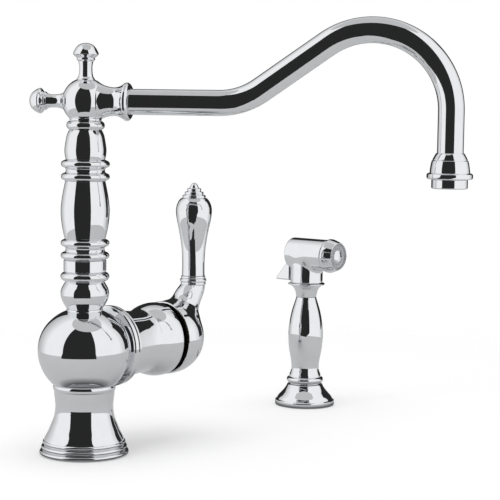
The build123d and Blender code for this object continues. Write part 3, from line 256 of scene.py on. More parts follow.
# The zero surface of a distance field. Each cell of a grid that it crosses gets a point, moved along the
# field's slope until the distance is nought, and each grid edge that it crosses joins four of them.
def carve(name, field, low, high, step):
    axes = [np.arange(low[k], high[k] + step, step) for k in range(3)]
    value = field(*np.meshgrid(*axes, indexing="ij"))
    cells = tuple(np.array(value.shape) - 1)
    total, count = np.zeros(cells + (3,)), np.zeros(cells)
    grid = np.stack(np.meshgrid(*[np.arange(n) for n in value.shape], indexing="ij"), 3).astype(float)
    crossings = []
    for axis in range(3):
        first = np.moveaxis(value, axis, 0)[:-1]
        second = np.moveaxis(value, axis, 0)[1:]
        crossed = (first < 0) != (second < 0)
        part = np.where(crossed, first / np.where(crossed, first - second, 1), 0)
        place = np.moveaxis(grid, axis, 0)[:-1].copy()
        place[..., axis] += part
        for u in (0, 1):
            for v in (0, 1):
                keep = (slice(None), slice(u, crossed.shape[1] - 1 + u), slice(v, crossed.shape[2] - 1 + v))
                np.moveaxis(count, axis, 0)[...] += crossed[keep]
                np.moveaxis(total, axis, 0)[...] += place[keep] * crossed[keep][..., None]
        crossings.append((crossed, first < 0))
    used = count > 0
    number = np.full(cells, -1)
    number[used] = np.arange(used.sum())
    points = total[used] / count[used][:, None] * step + np.array(low)
    faces = []
    for axis, (crossed, inside) in enumerate(crossings):
        other = [k for k in range(3) if k != axis]
        i, u, v = np.nonzero(crossed[:, 1:-1, 1:-1])
        around = []
        for du, dv in ((0, 0), (1, 0), (1, 1), (0, 1)):
            index = [None, None, None]
            index[axis], index[other[0]], index[other[1]] = i, u + du, v + dv
            around.append(number[tuple(index)])
        quad = np.stack(around, 1)
        forward = inside[:, 1:-1, 1:-1][i, u, v] != (axis == 1)
        faces.append(np.where(forward[:, None], quad, quad[:, ::-1]))
    reach = settling["reach"]
    for _ in range(settling["rounds"]):
        rises = [field(*(points + reach * unit).T) - field(*(points - reach * unit).T) for unit in np.eye(3)]
        slope = np.stack(rises, 1) / (2 * reach)
        size = np.maximum(np.sum(slope ** 2, 1), settling["leastSlope"])
        move = np.clip(field(*points.T) / size, -step / 2, step / 2)
        points = points - move[:, None] * slope
    normals = slope / np.linalg.norm(slope, axis=1)[:, None]
    return meshPiece(name, points, faces, normals)


# The nearer of two distances, with the crease between them filled over the width.
def joined(first, second, width):
    near = np.maximum(width - np.abs(first - second), 0) / width
    return np.minimum(first, second) - near ** 2 * width / 4


# The farther of two distances, with the edge between them rounded over the width.
def cut(first, second, width):
    return -joined(-first, -second, width)


# an sRGB hex colour turned to linear
def linear(colour):
    parts = [int(colour[k:k + 2], 16) / 255 for k in (0, 2, 4)]
    return [c / 12.92 if c <= 0.04045 else ((c + 0.055) / 1.055) ** 2.4 for c in parts] + [1.0]


# a node with its settings, by socket or property name or by socket number, and with what is linked to it
def addNode(tree, kind, settings=None, links=None):
    node = tree.nodes.new(kind)
    for name, value in (settings or {}).items():
        if isinstance(name, int) or name in node.inputs:
            node.inputs[name].default_value = value
        else:
            setattr(node, name, value)
    for socket, source in (links or {}).items():
        tree.links.new(source, node.inputs[socket])
    return node


def emptyMaterial(name):
    material = bpy.data.materials.new(name)
    material.use_nodes = True
    material.node_tree.nodes.clear()
    return material, material.node_tree


# Colour and roughness drift with a fine noise whose size is the grain in mm, and the same noise lifts the
# surface a little. Roughness runs from its mean less the spread to its mean plus the spread.
def finish(name, dark, light, metallic, roughness, grain, relief, spread):
    material, tree = emptyMaterial(name)
    place = addNode(tree, "ShaderNodeTexCoord")
    noise = addNode(tree, "ShaderNodeTexNoise", {"Scale": 1 / (grain * mm), "Detail": 4.0, "Roughness": 0.55},
                    {"Vector": place.outputs["Object"]})
    colour = addNode(tree, "ShaderNodeMix", {"data_type": "RGBA", 6: linear(dark), 7: linear(light)},
                     {0: noise.outputs["Fac"]})
    rough = addNode(tree, "ShaderNodeMapRange", {"To Min": roughness - spread, "To Max": roughness + spread},
                    {"Value": noise.outputs["Fac"]})
    bump = addNode(tree, "ShaderNodeBump", {"Strength": relief, "Distance": 0.1 * mm},
                   {"Height": noise.outputs["Fac"]})
    shader = addNode(tree, "ShaderNodeBsdfPrincipled", {"Metallic": metallic},
                     {"Base Color": colour.outputs[2], "Roughness": rough.outputs["Result"],
                      "Normal": bump.outputs["Normal"]})
    addNode(tree, "ShaderNodeOutputMaterial", links={"Surface": shader.outputs["BSDF"]})
    return material


finishes = {
    # nickel and chromium plate on buffed brass: a near mirror, faintly cool, with a trace of the buffing
    "polished_chrome": finish("polishedChromePlate", "E4E6E9", "EEEFF1",
                              metallic=1.0, roughness=0.035, grain=9.0, relief=0.01, spread=0.012),
    # sand-cast and turned brass, left bare inside: warm yellow, with fine turning marks
    "cast_brass": finish("turnedCastBrass", "A88A4A", "C4A561",
                         metallic=1.0, roughness=0.32, grain=0.8, relief=0.25, spread=0.08),
    # drawn copper tube: pinkish, slightly dulled by handling
    "copper_pipe": finish("drawnCopperTube", "A4654A", "C58566",
                          metallic=1.0, roughness=0.28, grain=2.5, relief=0.12, spread=0.08),
    # moulded nitrile rubber: near black, matt, faintly dusty
    "black_rubber": finish("mouldedNitrileRubber", "121212", "232323",
                           metallic=0.0, roughness=0.7, grain=1.2, relief=0.3, spread=0.08),
    # moulded acetal: waxy off-white
    "white_acetal": finish("mouldedAcetal", "DEDDD6", "EBEAE4",
                           metallic=0.0, roughness=0.38, grain=2.0, relief=0.08, spread=0.05),
    # glass-filled nylon body of the cartridge: dark and slightly mottled
    "cartridge_plastic": finish("glassFilledNylon", "222427", "33363A",
                                metallic=0.0, roughness=0.5, grain=0.7, relief=0.2, spread=0.08),
    # lapped alumina: hard white with a dull sheen
    "ceramic": finish("lappedAlumina", "E2DFD6", "EDEBE4",
                      metallic=0.0, roughness=0.25, grain=0.5, relief=0.03, spread=0.04),
    # drawn and turned stainless steel: grey, satin
    "stainless_steel": finish("turnedStainlessSteel", "A3A5A7", "BDBFC1",
                              metallic=1.0, roughness=0.27, grain=0.6, relief=0.15, spread=0.06),
    # moulded acetal, tinted pale grey
    "grey_plastic": finish("mouldedGreyAcetal", "B4B6B9", "C6C7CA",
                           metallic=0.0, roughness=0.42, grain=1.5, relief=0.1, spread=0.05),
}
# painted shade: the chrome plate inside the lever's gap is made near black, in place of the shade where the light
# hardly reaches
gapShade = finish("paintedShadeInLeverGap", "0A0A0B", "131314",
                  metallic=0.6, roughness=0.45, grain=3.0, relief=0.15, spread=0.05)
for node in frame["nodes"].values():
    for number, given in enumerate(node.data.materials):
        node.data.materials[number] = finishes[given.name.split(".")[0]]
print("finishes made:", len(finishes))


# a piece is named after the node that it stands for: ball_body gives ballBody
def pieceName(node):
    first, *others = node.split("_")
    return first + "".join(word.capitalize() for word in others)


# a piece gets its finish, rides on its node's body and stands for that node
def dress(piece, node, slot="polished_chrome"):
    piece.data.materials.append(finishes[slot])
    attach(piece, bodyOf[node])
    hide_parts(node)
    return piece


# a turned piece in place of its node, whose heights start at the base, or else at the node's lowest point
def turned(node, strokes, place, base=None, slot="polished_chrome", **shape):
    start = lowest(node)[2] if base is None else base
    return dress(lathe(pieceName(node), strokes, place, start, **shape), node, slot)


# Faces for whose centres, in mm, chosen holds get the painted shade of the lever's gap, a near-black finish.
def shadeGap(piece, chosen):
    polygons = piece.data.polygons
    centres = np.empty(len(polygons) * 3)
    polygons.foreach_get("center", centres)
    piece.data.materials.append(gapShade)
    dark = chosen(centres.reshape(-1, 3) / mm)
    polygons.foreach_set("material_index", dark.astype(np.int32))


# The faucet's body. Each outline's heights start at the piece's own foot.
baseRing = {"bore": 26.0, "foot": 32.2, "top": 30.0, "ribs": [33.8, 32.6, 31.4], "ribHeight": 3.75,
            "ribDepth": 1.3, "ribFrom": 0.06, "ribTo": 0.94}


# One rib on another, each an arc that stands out by the rib's depth over most of its height.
def ribbedOutline():
    bore, depth, height = baseRing["bore"], baseRing["ribDepth"], baseRing["ribHeight"]
    strokes = {"foot": line((bore, 0), (baseRing["foot"], 0))}
    for k, rib in enumerate(baseRing["ribs"]):
        strokes[f"rib{k}"] = bow((rib - depth, (k + baseRing["ribFrom"]) * height),
                                 (rib - depth, (k + baseRing["ribTo"]) * height), depth)
    top = len(baseRing["ribs"]) * height
    strokes["top"] = line((baseRing["top"], top), (bore, top))
    return strokes


turned("base_ring", ribbedOutline(), column, base=0.0, closed=True, ease=0.25, around=144)

pedestal = {
    "foot": line((0, 0), (30.4, 0)),
    "cove": flow((30.4, 0.4), (30.1, 1.5), (29.2, 3.4), (27.2, 7.3), (25.6, 11.1), (24.0, 15.0), (22.8, 18.8),
                 (22.1, 22.7), (21.9, 26.5), (22.15, 30.4), (22.65, 34.2), (22.95, 38.2)),
    "rim": bow((23.15, 38.6), (23.2, 42.7), 0.6),
    "top": line((22.6, 42.8), (0, 42.8)),
}
coveStart = 10.5   # above the deck, inside the base ring
turned("pedestal", pedestal, column, base=coveStart, around=128)

ball = {"radius": 35.3, "sideRadius": 30.0, "sideCentre": 5.3, "crownRadius": 37.05, "crownCentre": -4.65,
        "footRadius": 22.9, "footHeight": -26.0, "seamRadius": 13.7, "seamTop": 31.0, "boreClearance": 0.1}
footAngle = -math.degrees(math.acos(ball["footRadius"] / ball["radius"]))
sideAngle = math.degrees(math.atan2(-ball["crownCentre"], ball["sideCentre"]))
seamAngle = math.degrees(math.acos(ball["seamRadius"] / ball["crownRadius"]))
# the ball and the column's foot are bored round the diverter, which moves up inside them
waterBore = highest("diverter_body")[0] + ball["boreClearance"]
ballOutline = {
    "foot": line((waterBore, ball["footHeight"])),
    "lowerHalf": arc((0, 0), ball["radius"], footAngle, 0, 90),
    "side": arc((ball["sideCentre"], 0), ball["sideRadius"], 0, sideAngle),
    "crown": arc((0, ball["crownCentre"]), ball["crownRadius"], sideAngle, seamAngle),
    "seam": line((ball["seamRadius"], ball["seamTop"]), (waterBore, ball["seamTop"])),
}
turned("ball_body", ballOutline, column, base=leverHeight, around=144, closed=True)

columnFoot = {
    "foot": line((waterBore, 0)),
    "smallBall": flow((13.35, 0.0), (15.2, 2.9), (17.15, 6.7), (18.25, 12.0), (17.6, 15.4), (16.1, 18.3),
                      (14.8, 20.5)),
    "torus": bow((14.9, 21.4), (14.9, 27.9), 3.45),
    "drum": line((15.4, 28.2), (16.0, 28.6), (16.0, 36.9), (15.4, 37.3)),
    "top": line((waterBore, 37.3)),
}
turned("column_foot", columnFoot, column, closed=True)

# two round beads with a cove between them, twice on the column
beadRing = {
    "foot": line((0, 0), (15.2, 0)),
    "lowBead": bow((15.9, 0.5), (15.9, 5.8), 2.35),
    "cove": flow((15.1, 6.3), (14.6, 7.9), (15.1, 9.5)),
    "highBead": bow((15.9, 10.0), (15.9, 15.3), 2.35),
    "top": line((15.2, 15.8), (0, 15.8)),
}
turned("lower_bead_ring", beadRing, column)
turned("upper_bead_ring", beadRing, column)

lowerBarrel = {
    "foot": line((0, 0)),
    "belly": flow((15.3, 0.1), (16.8, 6.6), (17.9, 14.1), (18.3, 21.6), (17.65, 29.1), (16.4, 36.6),
                  (15.0, 43.4)),
    "top": line((0, 43.5)),
}
upperBarrel = {
    "foot": line((0, 0)),
    "belly": flow((14.6, 0.1), (15.4, 3.5), (15.68, 7.3), (15.3, 11.0), (14.7, 14.7), (13.9, 18.4),
                  (12.1, 22.4)),
    "top": line((0, 22.5)),
}
swivelCollar = {"foot": line((0, 0)), "bead": bow((12.2, 0.1), (12.2, 6.4), 2.1), "top": line((0, 6.6))}
turned("lower_barrel", lowerBarrel, column)
turned("upper_barrel", upperBarrel, column)
turned("swivel_collar", swivelCollar, column)
print("faucet body made")

# The spout. Heights start at the middle of the hub, on the axis that each piece is turned about.
hub = {"radius": 17.5, "neckRadius": 11.9, "foot": lowest("hub")[2] - hubHeight, "neck": 1.6}
neckAngle = math.degrees(math.asin((hub["foot"] + hub["neck"]) / hub["radius"]))
hubOutline = {
    "neck": line((0, hub["foot"]), (hub["neckRadius"], hub["foot"])),
    "ball": arc((0, 0), hub["radius"], neckAngle, 90, 120),
}
turned("hub", hubOutline, column, base=hubHeight)

finial = {
    "foot": line((0, 15.0), (6.8, 15.0), (6.8, 16.6)),
    "neck": flow((5.75, 18.0), (5.1, 20.6), (4.9, 23.5), (4.95, 26.5), (5.6, 29.6)),
    "ring": bow((6.5, 30.4), (6.5, 32.0), 0.4),
    "rim": flow((7.4, 32.9), (8.8, 34.0), (9.5, 34.8)),
    "cap": flow((9.55, 35.4), (9.1, 36.6), (8.05, 38.6), (6.3, 40.9), (3.6, 42.6), (0.0, 43.3)),
}
turned("top_finial", finial, upright(z=hubHeight), base=0.0, ease=0.25, around=96)
turned("side_finial", finial, backAxis, base=0.0, ease=0.25, around=96)

spoutNut = {
    "foot": line((0, 10.8)),
    "flare": flow((13.7, 11.0), (12.5, 13.2), (11.5, 16.0), (10.75, 19.3), (10.55, 22.6), (11.3, 26.2),
                  (12.9, 29.2), (13.9, 30.5)),
    "lip": bow((14.0, 30.9), (14.0, 32.9), 0.2),
    "end": flow((13.8, 33.2), (12.9, 34.1), (11.3, 34.5), (9.9, 34.6)),
    "seat": line((9.6, 34.2), (0, 34.2)),
}
turned("spout_nut", spoutNut, spoutAxis, base=0.0)

# lengths in mm, with the two bends' radii and the crest's height above the level arm
spoutTube = {"radius": 9.525, "start": 20.0, "inclineDegrees": 35, "bend": 54.0, "arch": 57.6, "crest": 53.9,
             "endInset": 1.0, "step": 1.8}


# Level arm, a bend up to the incline, the incline, and the arch down to the straight end, as points in the
# plane of the spout: distance along it times the way it points, and height. They lie a step apart.
def spoutPath():
    tilt, bend, arch = math.radians(spoutTube["inclineDegrees"]), spoutTube["bend"], spoutTube["arch"]
    archCentre = np.array([spoutReach - arch, hubHeight + spoutTube["crest"] - arch])
    archStart = archCentre + arch * np.array([-math.sin(tilt), math.cos(tilt)])
    corner = archStart[0] - (archStart[1] - hubHeight) / math.tan(tilt)
    bendCentre = np.array([corner - bend * math.tan(tilt / 2), hubHeight + bend])
    rise = np.linspace(0, tilt, 60)[:, None]
    fall = np.linspace(math.pi / 2 + tilt, 0, 160)[:, None]
    flat = np.vstack([
        line((spoutTube["start"], hubHeight)),
        bendCentre + bend * np.hstack([np.sin(rise), -np.cos(rise)]),
        archCentre + arch * np.hstack([np.cos(fall), np.sin(fall)]),
        line((spoutReach, lowest("spout_tube")[2] + spoutTube["endInset"])),
    ])
    run = np.concatenate([[0], np.cumsum(np.hypot(*np.diff(flat, axis=0).T))])
    where = np.linspace(0, run[-1], int(run[-1] / spoutTube["step"]))
    along, up = (np.interp(where, run, flat[:, k]) for k in (0, 1))
    return np.stack([along * math.cos(spoutAngle), along * math.sin(spoutAngle), up], 1)


acrossSpout = np.array([-math.sin(spoutAngle), math.cos(spoutAngle), 0.0])
dress(sweep("spoutTube", spoutPath(), spoutTube["radius"], acrossSpout), "spout_tube")

outletCap = {
    "foot": line((0, 0.2), (15.8, 0)),
    "lip": bow((16.45, 0.6), (16.45, 3.7), 0.25),
    "ledge": line((15.7, 4.3), (14.6, 4.4)),
    "bell": flow((14.5, 4.6), (14.3, 7.2), (13.85, 10.2), (13.2, 13.2)),
    "step": line((12.5, 13.6)),
    "shoulder": flow((12.6, 14.2), (11.9, 15.6), (11.0, 17.3), (10.1, 18.7)),
    "seat": line((9.6, 18.8), (9.5, 18.2), (0, 18.2)),
}
aeratorShell = {
    "mouth": line((9.0, 0.6), (9.5, 0.0), (12.4, 0.0), (13.1, 0.7)),
    "outside": line((13.1, 6.6), (11.7, 6.8), (11.7, 13.8), (10.1, 13.8)),
    "inside": line((10.1, 1.5), (9.0, 1.4)),
}
turned("outlet_cap", outletCap, outletLine, ease=0.3)
turned("aerator_shell", aeratorShell, outletLine, ease=0.3, closed=True, around=96)
print("spout made")

# The lever's side. The collar's and the housing's heights run along the lever's axis, from the column.
portCollar = {
    "boss": line((0, 19.5), (24.0, 19.5), (24.0, 23.3)),
    "flange": line((30.5, 23.32), (31.25, 24.0), (31.25, 26.9), (30.7, 27.5)),
    "groove": line((30.1, 27.7), (30.1, 28.1), (30.4, 28.3)),
    "lip": line((30.8, 28.8), (30.8, 30.3), (30.2, 30.9), (0, 30.9)),
}
turned("port_collar", portCollar, leverAxis, base=0.0, around=144)

housing = {"foot": 31.0, "radius": 29.1, "middle": 77.12, "shoulder": 14.0, "nose": 3.2, "mouth": 22.7,
           "mouthDepth": 2.5, "shadeDepth": 3, "shadeInset": 0.6}
shoulderAngle = math.degrees(math.asin(housing["shoulder"] / housing["radius"]))
noseAngle = math.degrees(math.asin(housing["nose"] / housing["radius"]))
mouthEnd = housing["middle"] + housing["nose"]
mouthFloor = mouthEnd - housing["mouthDepth"]
housingOutline = {
    "foot": line((0, housing["foot"])),
    "neck": flow((27.5, 31.1), (26.3, 38.0), (25.2, 46.0), (24.5, 53.0), (24.35, 58.0), (24.7, 61.6),
                 (25.5, 63.1)),
    "ball": arc((0, housing["middle"]), housing["radius"], -shoulderAngle, noseAngle),
    "mouth": line((housing["mouth"], mouthEnd), (housing["mouth"], mouthFloor), (0, mouthFloor)),
}
housingPiece = turned("cartridge_housing", housingOutline, leverAxis, base=0.0, around=128)
# painted shade: the housing's end inside the dome is made near black
shadeGap(housingPiece, lambda centres: (centres[:, 0] > mouthEnd - housing["shadeDepth"]) & (
    np.hypot(centres[:, 1], centres[:, 2] - leverHeight) < housing["radius"] - housing["shadeInset"]))

dome = {
    "radius": 29.1, "inner": 25.9, "rim": lowest("lever_dome")[0], "fillet": 7.0,
    # along, up and radius of the horn, from the lever's pivot
    "horn": [(14.0, 15.0, 15.0), (17.4, 20.5, 12.6), (20.2, 25.3, 11.7), (23.2, 29.8, 11.1),
             (27.2, 34.6, 10.3), (29.7, 38.5, 9.7), (30.0, 42.0, 9.5)],
    "hollowEdge": 0.8, "rimEdge": 1.0, "seatOverlap": 0.6, "shadeReach": 1.2,
    "boxHalf": 30.5, "boxRim": 1, "boxEnd": 12, "boxTop": 2, "cell": 0.75,
}
hornPath = np.array(dome["horn"])
hornFine = flow(*hornPath[:, :2], count=9)
hornRadius = np.interp(hornFine[:, 1], hornPath[:, 1], hornPath[:, 2])
handleSeat = lowest("handle_ring")[2]


# Distance to a half ball with a short skirt, joined smoothly to a horn of cones along a curve, hollow inside
# and cut off at the rim and under the handle's ring.
def domeField(x, y, z):
    dx, dz = x - leverPivot, z - leverHeight
    side = np.hypot(y, dz)
    away = np.where(dx > 0, np.sqrt(dx ** 2 + side ** 2), side)
    horn = np.full(np.shape(x), np.inf)
    for (a0, u0), (a1, u1), r0, r1 in zip(hornFine[:-1], hornFine[1:], hornRadius[:-1], hornRadius[1:]):
        wayX, wayZ = a1 - a0, u1 - u0
        part = np.clip(((dx - a0) * wayX + (dz - u0) * wayZ) / (wayX ** 2 + wayZ ** 2), 0, 1)
        fromLine = np.sqrt((dx - a0 - part * wayX) ** 2 + (dz - u0 - part * wayZ) ** 2 + y ** 2)
        horn = np.minimum(horn, fromLine - (r0 + part * (r1 - r0)))
    solid = joined(away - dome["radius"], horn, dome["fillet"])
    solid = cut(solid, -(away - dome["inner"]), dome["hollowEdge"])
    solid = cut(solid, dome["rim"] - x, dome["rimEdge"])
    return np.maximum(solid, z - handleSeat - dome["seatOverlap"])


domeLow = (dome["rim"] - dome["boxRim"], -dome["boxHalf"], leverHeight - dome["boxHalf"])
domeHigh = (handleAxis + dome["boxEnd"], dome["boxHalf"], handleSeat + dome["boxTop"])
domePiece = dress(carve("leverDome", domeField, domeLow, domeHigh, dome["cell"]), "lever_dome")
# painted shade: the dome's hollow inside is made near black
shadeGap(domePiece, lambda centres: np.where(
    centres[:, 0] > leverPivot, np.linalg.norm(centres - (leverPivot, 0, leverHeight), axis=1),
    np.hypot(centres[:, 1], centres[:, 2] - leverHeight)) < dome["inner"] + dome["shadeReach"])

handleRing = {
    "foot": line((0, 0), (9.9, 0)),
    "lowBead": bow((10.05, 0.25), (10.05, 2.2), 0.2),
    "lowGroove": line((9.7, 2.45)),
    "middleBead": bow((10.5, 2.75), (10.5, 5.0), 0.3),
    "highGroove": line((9.6, 5.3)),
    "highBead": bow((9.75, 5.5), (9.7, 7.3), 0.2),
    "top": line((9.2, 7.6), (0, 7.6)),
}
leverHandle = {
    "foot": line((0, 0)),
    "side": flow((9.3, 0.2), (9.1, 4.5), (9.15, 13.5), (9.4, 19.0), (9.9, 24.0), (10.6, 29.0), (11.45, 34.0),
                 (12.4, 39.0), (13.45, 43.7), (14.25, 48.6), (14.6, 53.0), (14.3, 56.0), (13.6, 58.3),
                 (12.4, 60.8), (10.5, 63.0)),
    "top": line((0, 63.0)),
}
handleTip = {
    "foot": line((0, 0), (9.0, 0)),
    "lowTier": bow((9.2, 0.2), (9.2, 2.5), 0.25),
    "lowStep": line((7.7, 2.7)),
    "middleTier": bow((7.4, 2.9), (7.4, 5.2), 0.25),
    "middleStep": line((5.8, 5.45)),
    "highTier": bow((5.45, 5.7), (5.45, 8.0), 0.25),
    "highStep": line((4.1, 8.2)),
    "point": flow((3.8, 8.4), (3.0, 10.2), (1.4, 12.2), (0, 12.6)),
}
turned("handle_ring", handleRing, handleLine, ease=0.2, around=96)
turned("lever_handle", leverHandle, handleLine, base=highest("handle_ring")[2])
turned("handle_tip", handleTip, handleLine, base=highest("lever_handle")[2], ease=0.2, around=96)
print("lever made")

# The side spray. Each outline's heights start at the piece's own foot.
sprayFlange = {
    "foot": line((12.6, 0.4), (12.9, 0), (26.0, 0)),
    "edge": bow((26.25, 0.4), (26.25, 4.6), 0.15),
    "step": line((25.7, 5.1)),
    "bell": flow((25.2, 5.4), (23.8, 7.7), (21.2, 10.6), (18.7, 13.4), (16.9, 16.1), (15.7, 18.4)),
    "mouth": line((15.2, 18.8), (13.0, 18.8), (12.6, 18.4)),
}
sprayFerrule = {
    "foot": line((0, 0), (14.4, 0), (15.0, 1.3)),
    "bead": bow((15.6, 1.7), (15.6, 5.5), 0.8),
    "top": line((14.9, 5.8), (14.4, 6.2), (0, 6.2)),
}
sprayGrip = {
    "foot": line((0, 0)),
    "side": flow((14.3, 0.1), (14.05, 1.6), (13.1, 4.3), (12.25, 8.0), (12.45, 12.4), (13.3, 17.9),
                 (14.35, 23.3), (15.0, 28.7), (15.45, 36.6), (15.05, 45.0), (14.4, 50.4), (13.35, 55.9),
                 (12.0, 61.3), (10.3, 66.6), (9.4, 69.4), (8.9, 71.5)),
    "top": line((0, 71.6)),
}
sprayNut = {
    "foot": line((0, 0)),
    "flare": flow((8.85, 0.1), (9.4, 3.1), (10.15, 5.9), (11.8, 8.6), (13.8, 10.3), (15.6, 10.9)),
    "rim": bow((16.1, 11.2), (16.1, 12.2), 0.2),
    "top": line((15.6, 12.55), (0, 12.6)),
}
turned("spray_flange", sprayFlange, sprayLine, base=0.0, closed=True, around=128)
turned("spray_ferrule", sprayFerrule, sprayLine, ease=0.25)
turned("spray_grip", sprayGrip, sprayLine)
turned("spray_nut", sprayNut, sprayLine, ease=0.3)

head = {"radius": 14.3, "barrel": 13.9, "back": 15.6, "front": 24.4, "fillet": 3.0, "slotHalf": 8.35,
        "slotFront": 9.0, "slotTop": 130.65, "postEdge": 1.0, "barrelEdge": 1.6, "slotEdge": 0.7,
        "boxHalf": 16, "boxFront": -26.0, "boxBack": 17.5, "boxFoot": 1, "boxTop": 15.5, "cell": 0.6}
headFoot = highest("spray_nut")[2]


# Distance to an upright round post joined smoothly to a level barrel, with a slot for the trigger.
def headField(x, y, z):
    dx, dz = x - sprayOffset, z - barrelHeight
    post = cut(np.hypot(dx, y) - head["radius"], np.maximum(headFoot - z, z - barrelHeight), head["postEdge"])
    ends = np.maximum(y - head["back"], -y - head["front"])
    level = cut(np.hypot(dx, dz) - head["barrel"], ends, head["barrelEdge"])
    solid = joined(post, level, head["fillet"])
    slot = np.maximum(np.maximum(np.abs(dx) - head["slotHalf"], head["slotFront"] - y), z - head["slotTop"])
    return cut(solid, -slot, head["slotEdge"])


headLow = (sprayOffset - head["boxHalf"], head["boxFront"], headFoot - head["boxFoot"])
headHigh = (sprayOffset + head["boxHalf"], head["boxBack"], barrelHeight + head["boxTop"])
dress(carve("sprayHead", headField, headLow, headHigh, head["cell"]), "spray_head")

# the nozzle's pieces are turned about the barrel's axis, with heights forward from the spray's middle
nozzleBezel = {
    "spigot": line((10.4, 18.6), (11.8, 18.6), (11.8, 24.4), (14.2, 24.5), (14.8, 25.2)),
    "cone": flow((14.9, 26.6), (14.1, 29.4), (12.9, 32.8), (12.1, 34.6)),
    "mouth": line((11.7, 35.0), (11.35, 34.7), (11.2, 33.8), (11.2, 26.0), (10.4, 25.8)),
}
turned("nozzle_bezel", nozzleBezel, nozzleAxis, base=0.0, closed=True, ease=0.4)

nozzleFace = {"radius": 11.1, "rear": 26.2, "front": 33.4,
              "ridge": 8.9, "ridgeHeight": 0.9, "ridgeWidth": 0.55,
              "holes": 16, "holeCircle": 7.1, "holeRadius": 0.62, "holeDepth": 1.3, "holeEdge": 0.07,
              "around": 256, "rows": 90}


# A round plate over radius and angle: its front is the plain front plus a round ridge, less a pit at each
# hole of a ring, and its last ring lies at the rear.
def drilledFace():
    face, around = nozzleFace, nozzleFace["around"]
    radius = np.concatenate([np.linspace(0, face["radius"], face["rows"])[1:], [face["radius"]]])[:, None]
    turn = (np.arange(around) * 2 * math.pi / around)[None]
    spacing = 2 * math.pi / face["holes"]
    off = (turn + spacing / 2) % spacing - spacing / 2
    away = np.hypot(radius * np.cos(off) - face["holeCircle"], radius * np.sin(off))
    pit = face["holeDepth"] / (1 + np.exp((away - face["holeRadius"]) / face["holeEdge"]))
    ridge = face["ridgeHeight"] * np.exp(-((radius - face["ridge"]) / face["ridgeWidth"]) ** 2)
    height = face["front"] + ridge - pit + 0 * turn
    height[-1] = face["rear"]
    points = np.stack([radius * np.cos(turn), radius * np.sin(turn), height], 2).reshape(-1, 3)
    points = np.vstack([points, [0, 0, face["front"]], [0, 0, face["rear"]]])
    return meshPiece("nozzleFace", inFrame(points, nozzleAxis), flipped(ringFaces(len(radius), around)))


dress(drilledFace(), "nozzle_face", slot="grey_plastic")
nozzlePlug = {
    "rear": line((0, 29.7), (5.6, 29.7)),
    "edge": bow((5.6, 33.6), (5.2, 34.1), 0.1),
    "cap": flow((5.0, 34.15), (3.2, 34.55), (0, 34.75)),
}
turned("nozzle_plug", nozzlePlug, nozzleAxis, base=0.0, ease=0.3, around=96)

trigger = {"halfWidth": 8.0, "foot": 111.15, "top": 128.15, "inner": 13.5, "knuckle": 2.9,
           "slopeFoot": (28.6, 112.75), "slopeTop": (15.95, 128.15), "tip": 28.85,
           "outerEdge": 1.2, "innerEdge": 0.6, "fillet": 0.8,
           "boxHalf": 9, "boxFront": 8.5, "boxBack": 30.0, "boxFoot": 110.0, "boxTop": 131.5, "cell": 0.45}


# Distance to a wedge, flat below and sloped behind, joined to a round knuckle about the pin.
def triggerField(x, y, z):
    (y0, z0), (y1, z1) = trigger["slopeFoot"], trigger["slopeTop"]
    length = math.hypot(y1 - y0, z1 - z0)
    slope = ((y - y0) * (z1 - z0) - (z - z0) * (y1 - y0)) / length
    side = np.abs(x - sprayOffset) - trigger["halfWidth"]
    edge = trigger["outerEdge"]
    wedge = cut(cut(slope, y - trigger["tip"], edge), trigger["foot"] - z, edge)
    wedge = cut(wedge, np.maximum(trigger["inner"] - y, z - trigger["top"]), trigger["innerEdge"])
    knuckle = np.hypot(y - triggerPivot[1], z - triggerPivot[2]) - trigger["knuckle"]
    return cut(joined(wedge, knuckle, trigger["fillet"]), side, edge)


triggerLow = (sprayOffset - trigger["boxHalf"], trigger["boxFront"], trigger["boxFoot"])
triggerHigh = (sprayOffset + trigger["boxHalf"], trigger["boxBack"], trigger["boxTop"])
dress(carve("sprayTrigger", triggerField, triggerLow, triggerHigh, trigger["cell"]), "spray_trigger")
print("side spray made")

# the photo's camera: focal length and picture width in its pixels, angles in degrees, sensor and place in
# mm, and the clipping distances in metres
view = {"focalPixels": 1550, "pictureWidth": 500, "sensor": 36.0, "pitch": 5.09, "azimuth": -50.5,
        "roll": 0.8, "place": (-817.66, -834.92, 260.4), "clipStart": 0.05, "clipEnd": 20.0}
azimuth = math.radians(view["azimuth"])
toCamera = np.array([math.sin(azimuth), -math.cos(azimuth), 0.0])
toRight = np.array([math.cos(azimuth), math.sin(azimuth), 0.0])


# A sheet of the studio. The camera and the light meet the floor alone, and reflections meet the cards alone.
def stageSheet(name, points, faces, material, isCard=True):
    mesh = bpy.data.meshes.new(name)
    mesh.from_pydata(np.array(points, float) * mm, [], faces)
    sheet = bpy.data.objects.new(name, mesh)
    bpy.context.scene.collection.objects.link(sheet)
    sheet.data.materials.append(material)
    sheet.visible_camera = sheet.visible_shadow = sheet.visible_diffuse = not isCard
    sheet.visible_glossy = sheet.visible_transmission = isCard


# a card that gives back light, or with a glow gives its own
def cardMaterial(name, colour, glow=None):
    material, tree = emptyMaterial(name)
    if glow is None:
        shader = addNode(tree, "ShaderNodeBsdfDiffuse", {"Color": linear(colour)})
    else:
        shader = addNode(tree, "ShaderNodeEmission", {"Color": linear(colour), "Strength": glow})
    addNode(tree, "ShaderNodeOutputMaterial", links={"Surface": shader.outputs[0]})
    return material


floor = {"centre": (120.0, -70.0, 0.0), "half": 900.0, "fadeStart": 420.0, "fadeEnd": 720.0,
         "paper": "F2F2F2", "lift": 0.14}   # the lift is what the camera sees on top of the lit paper


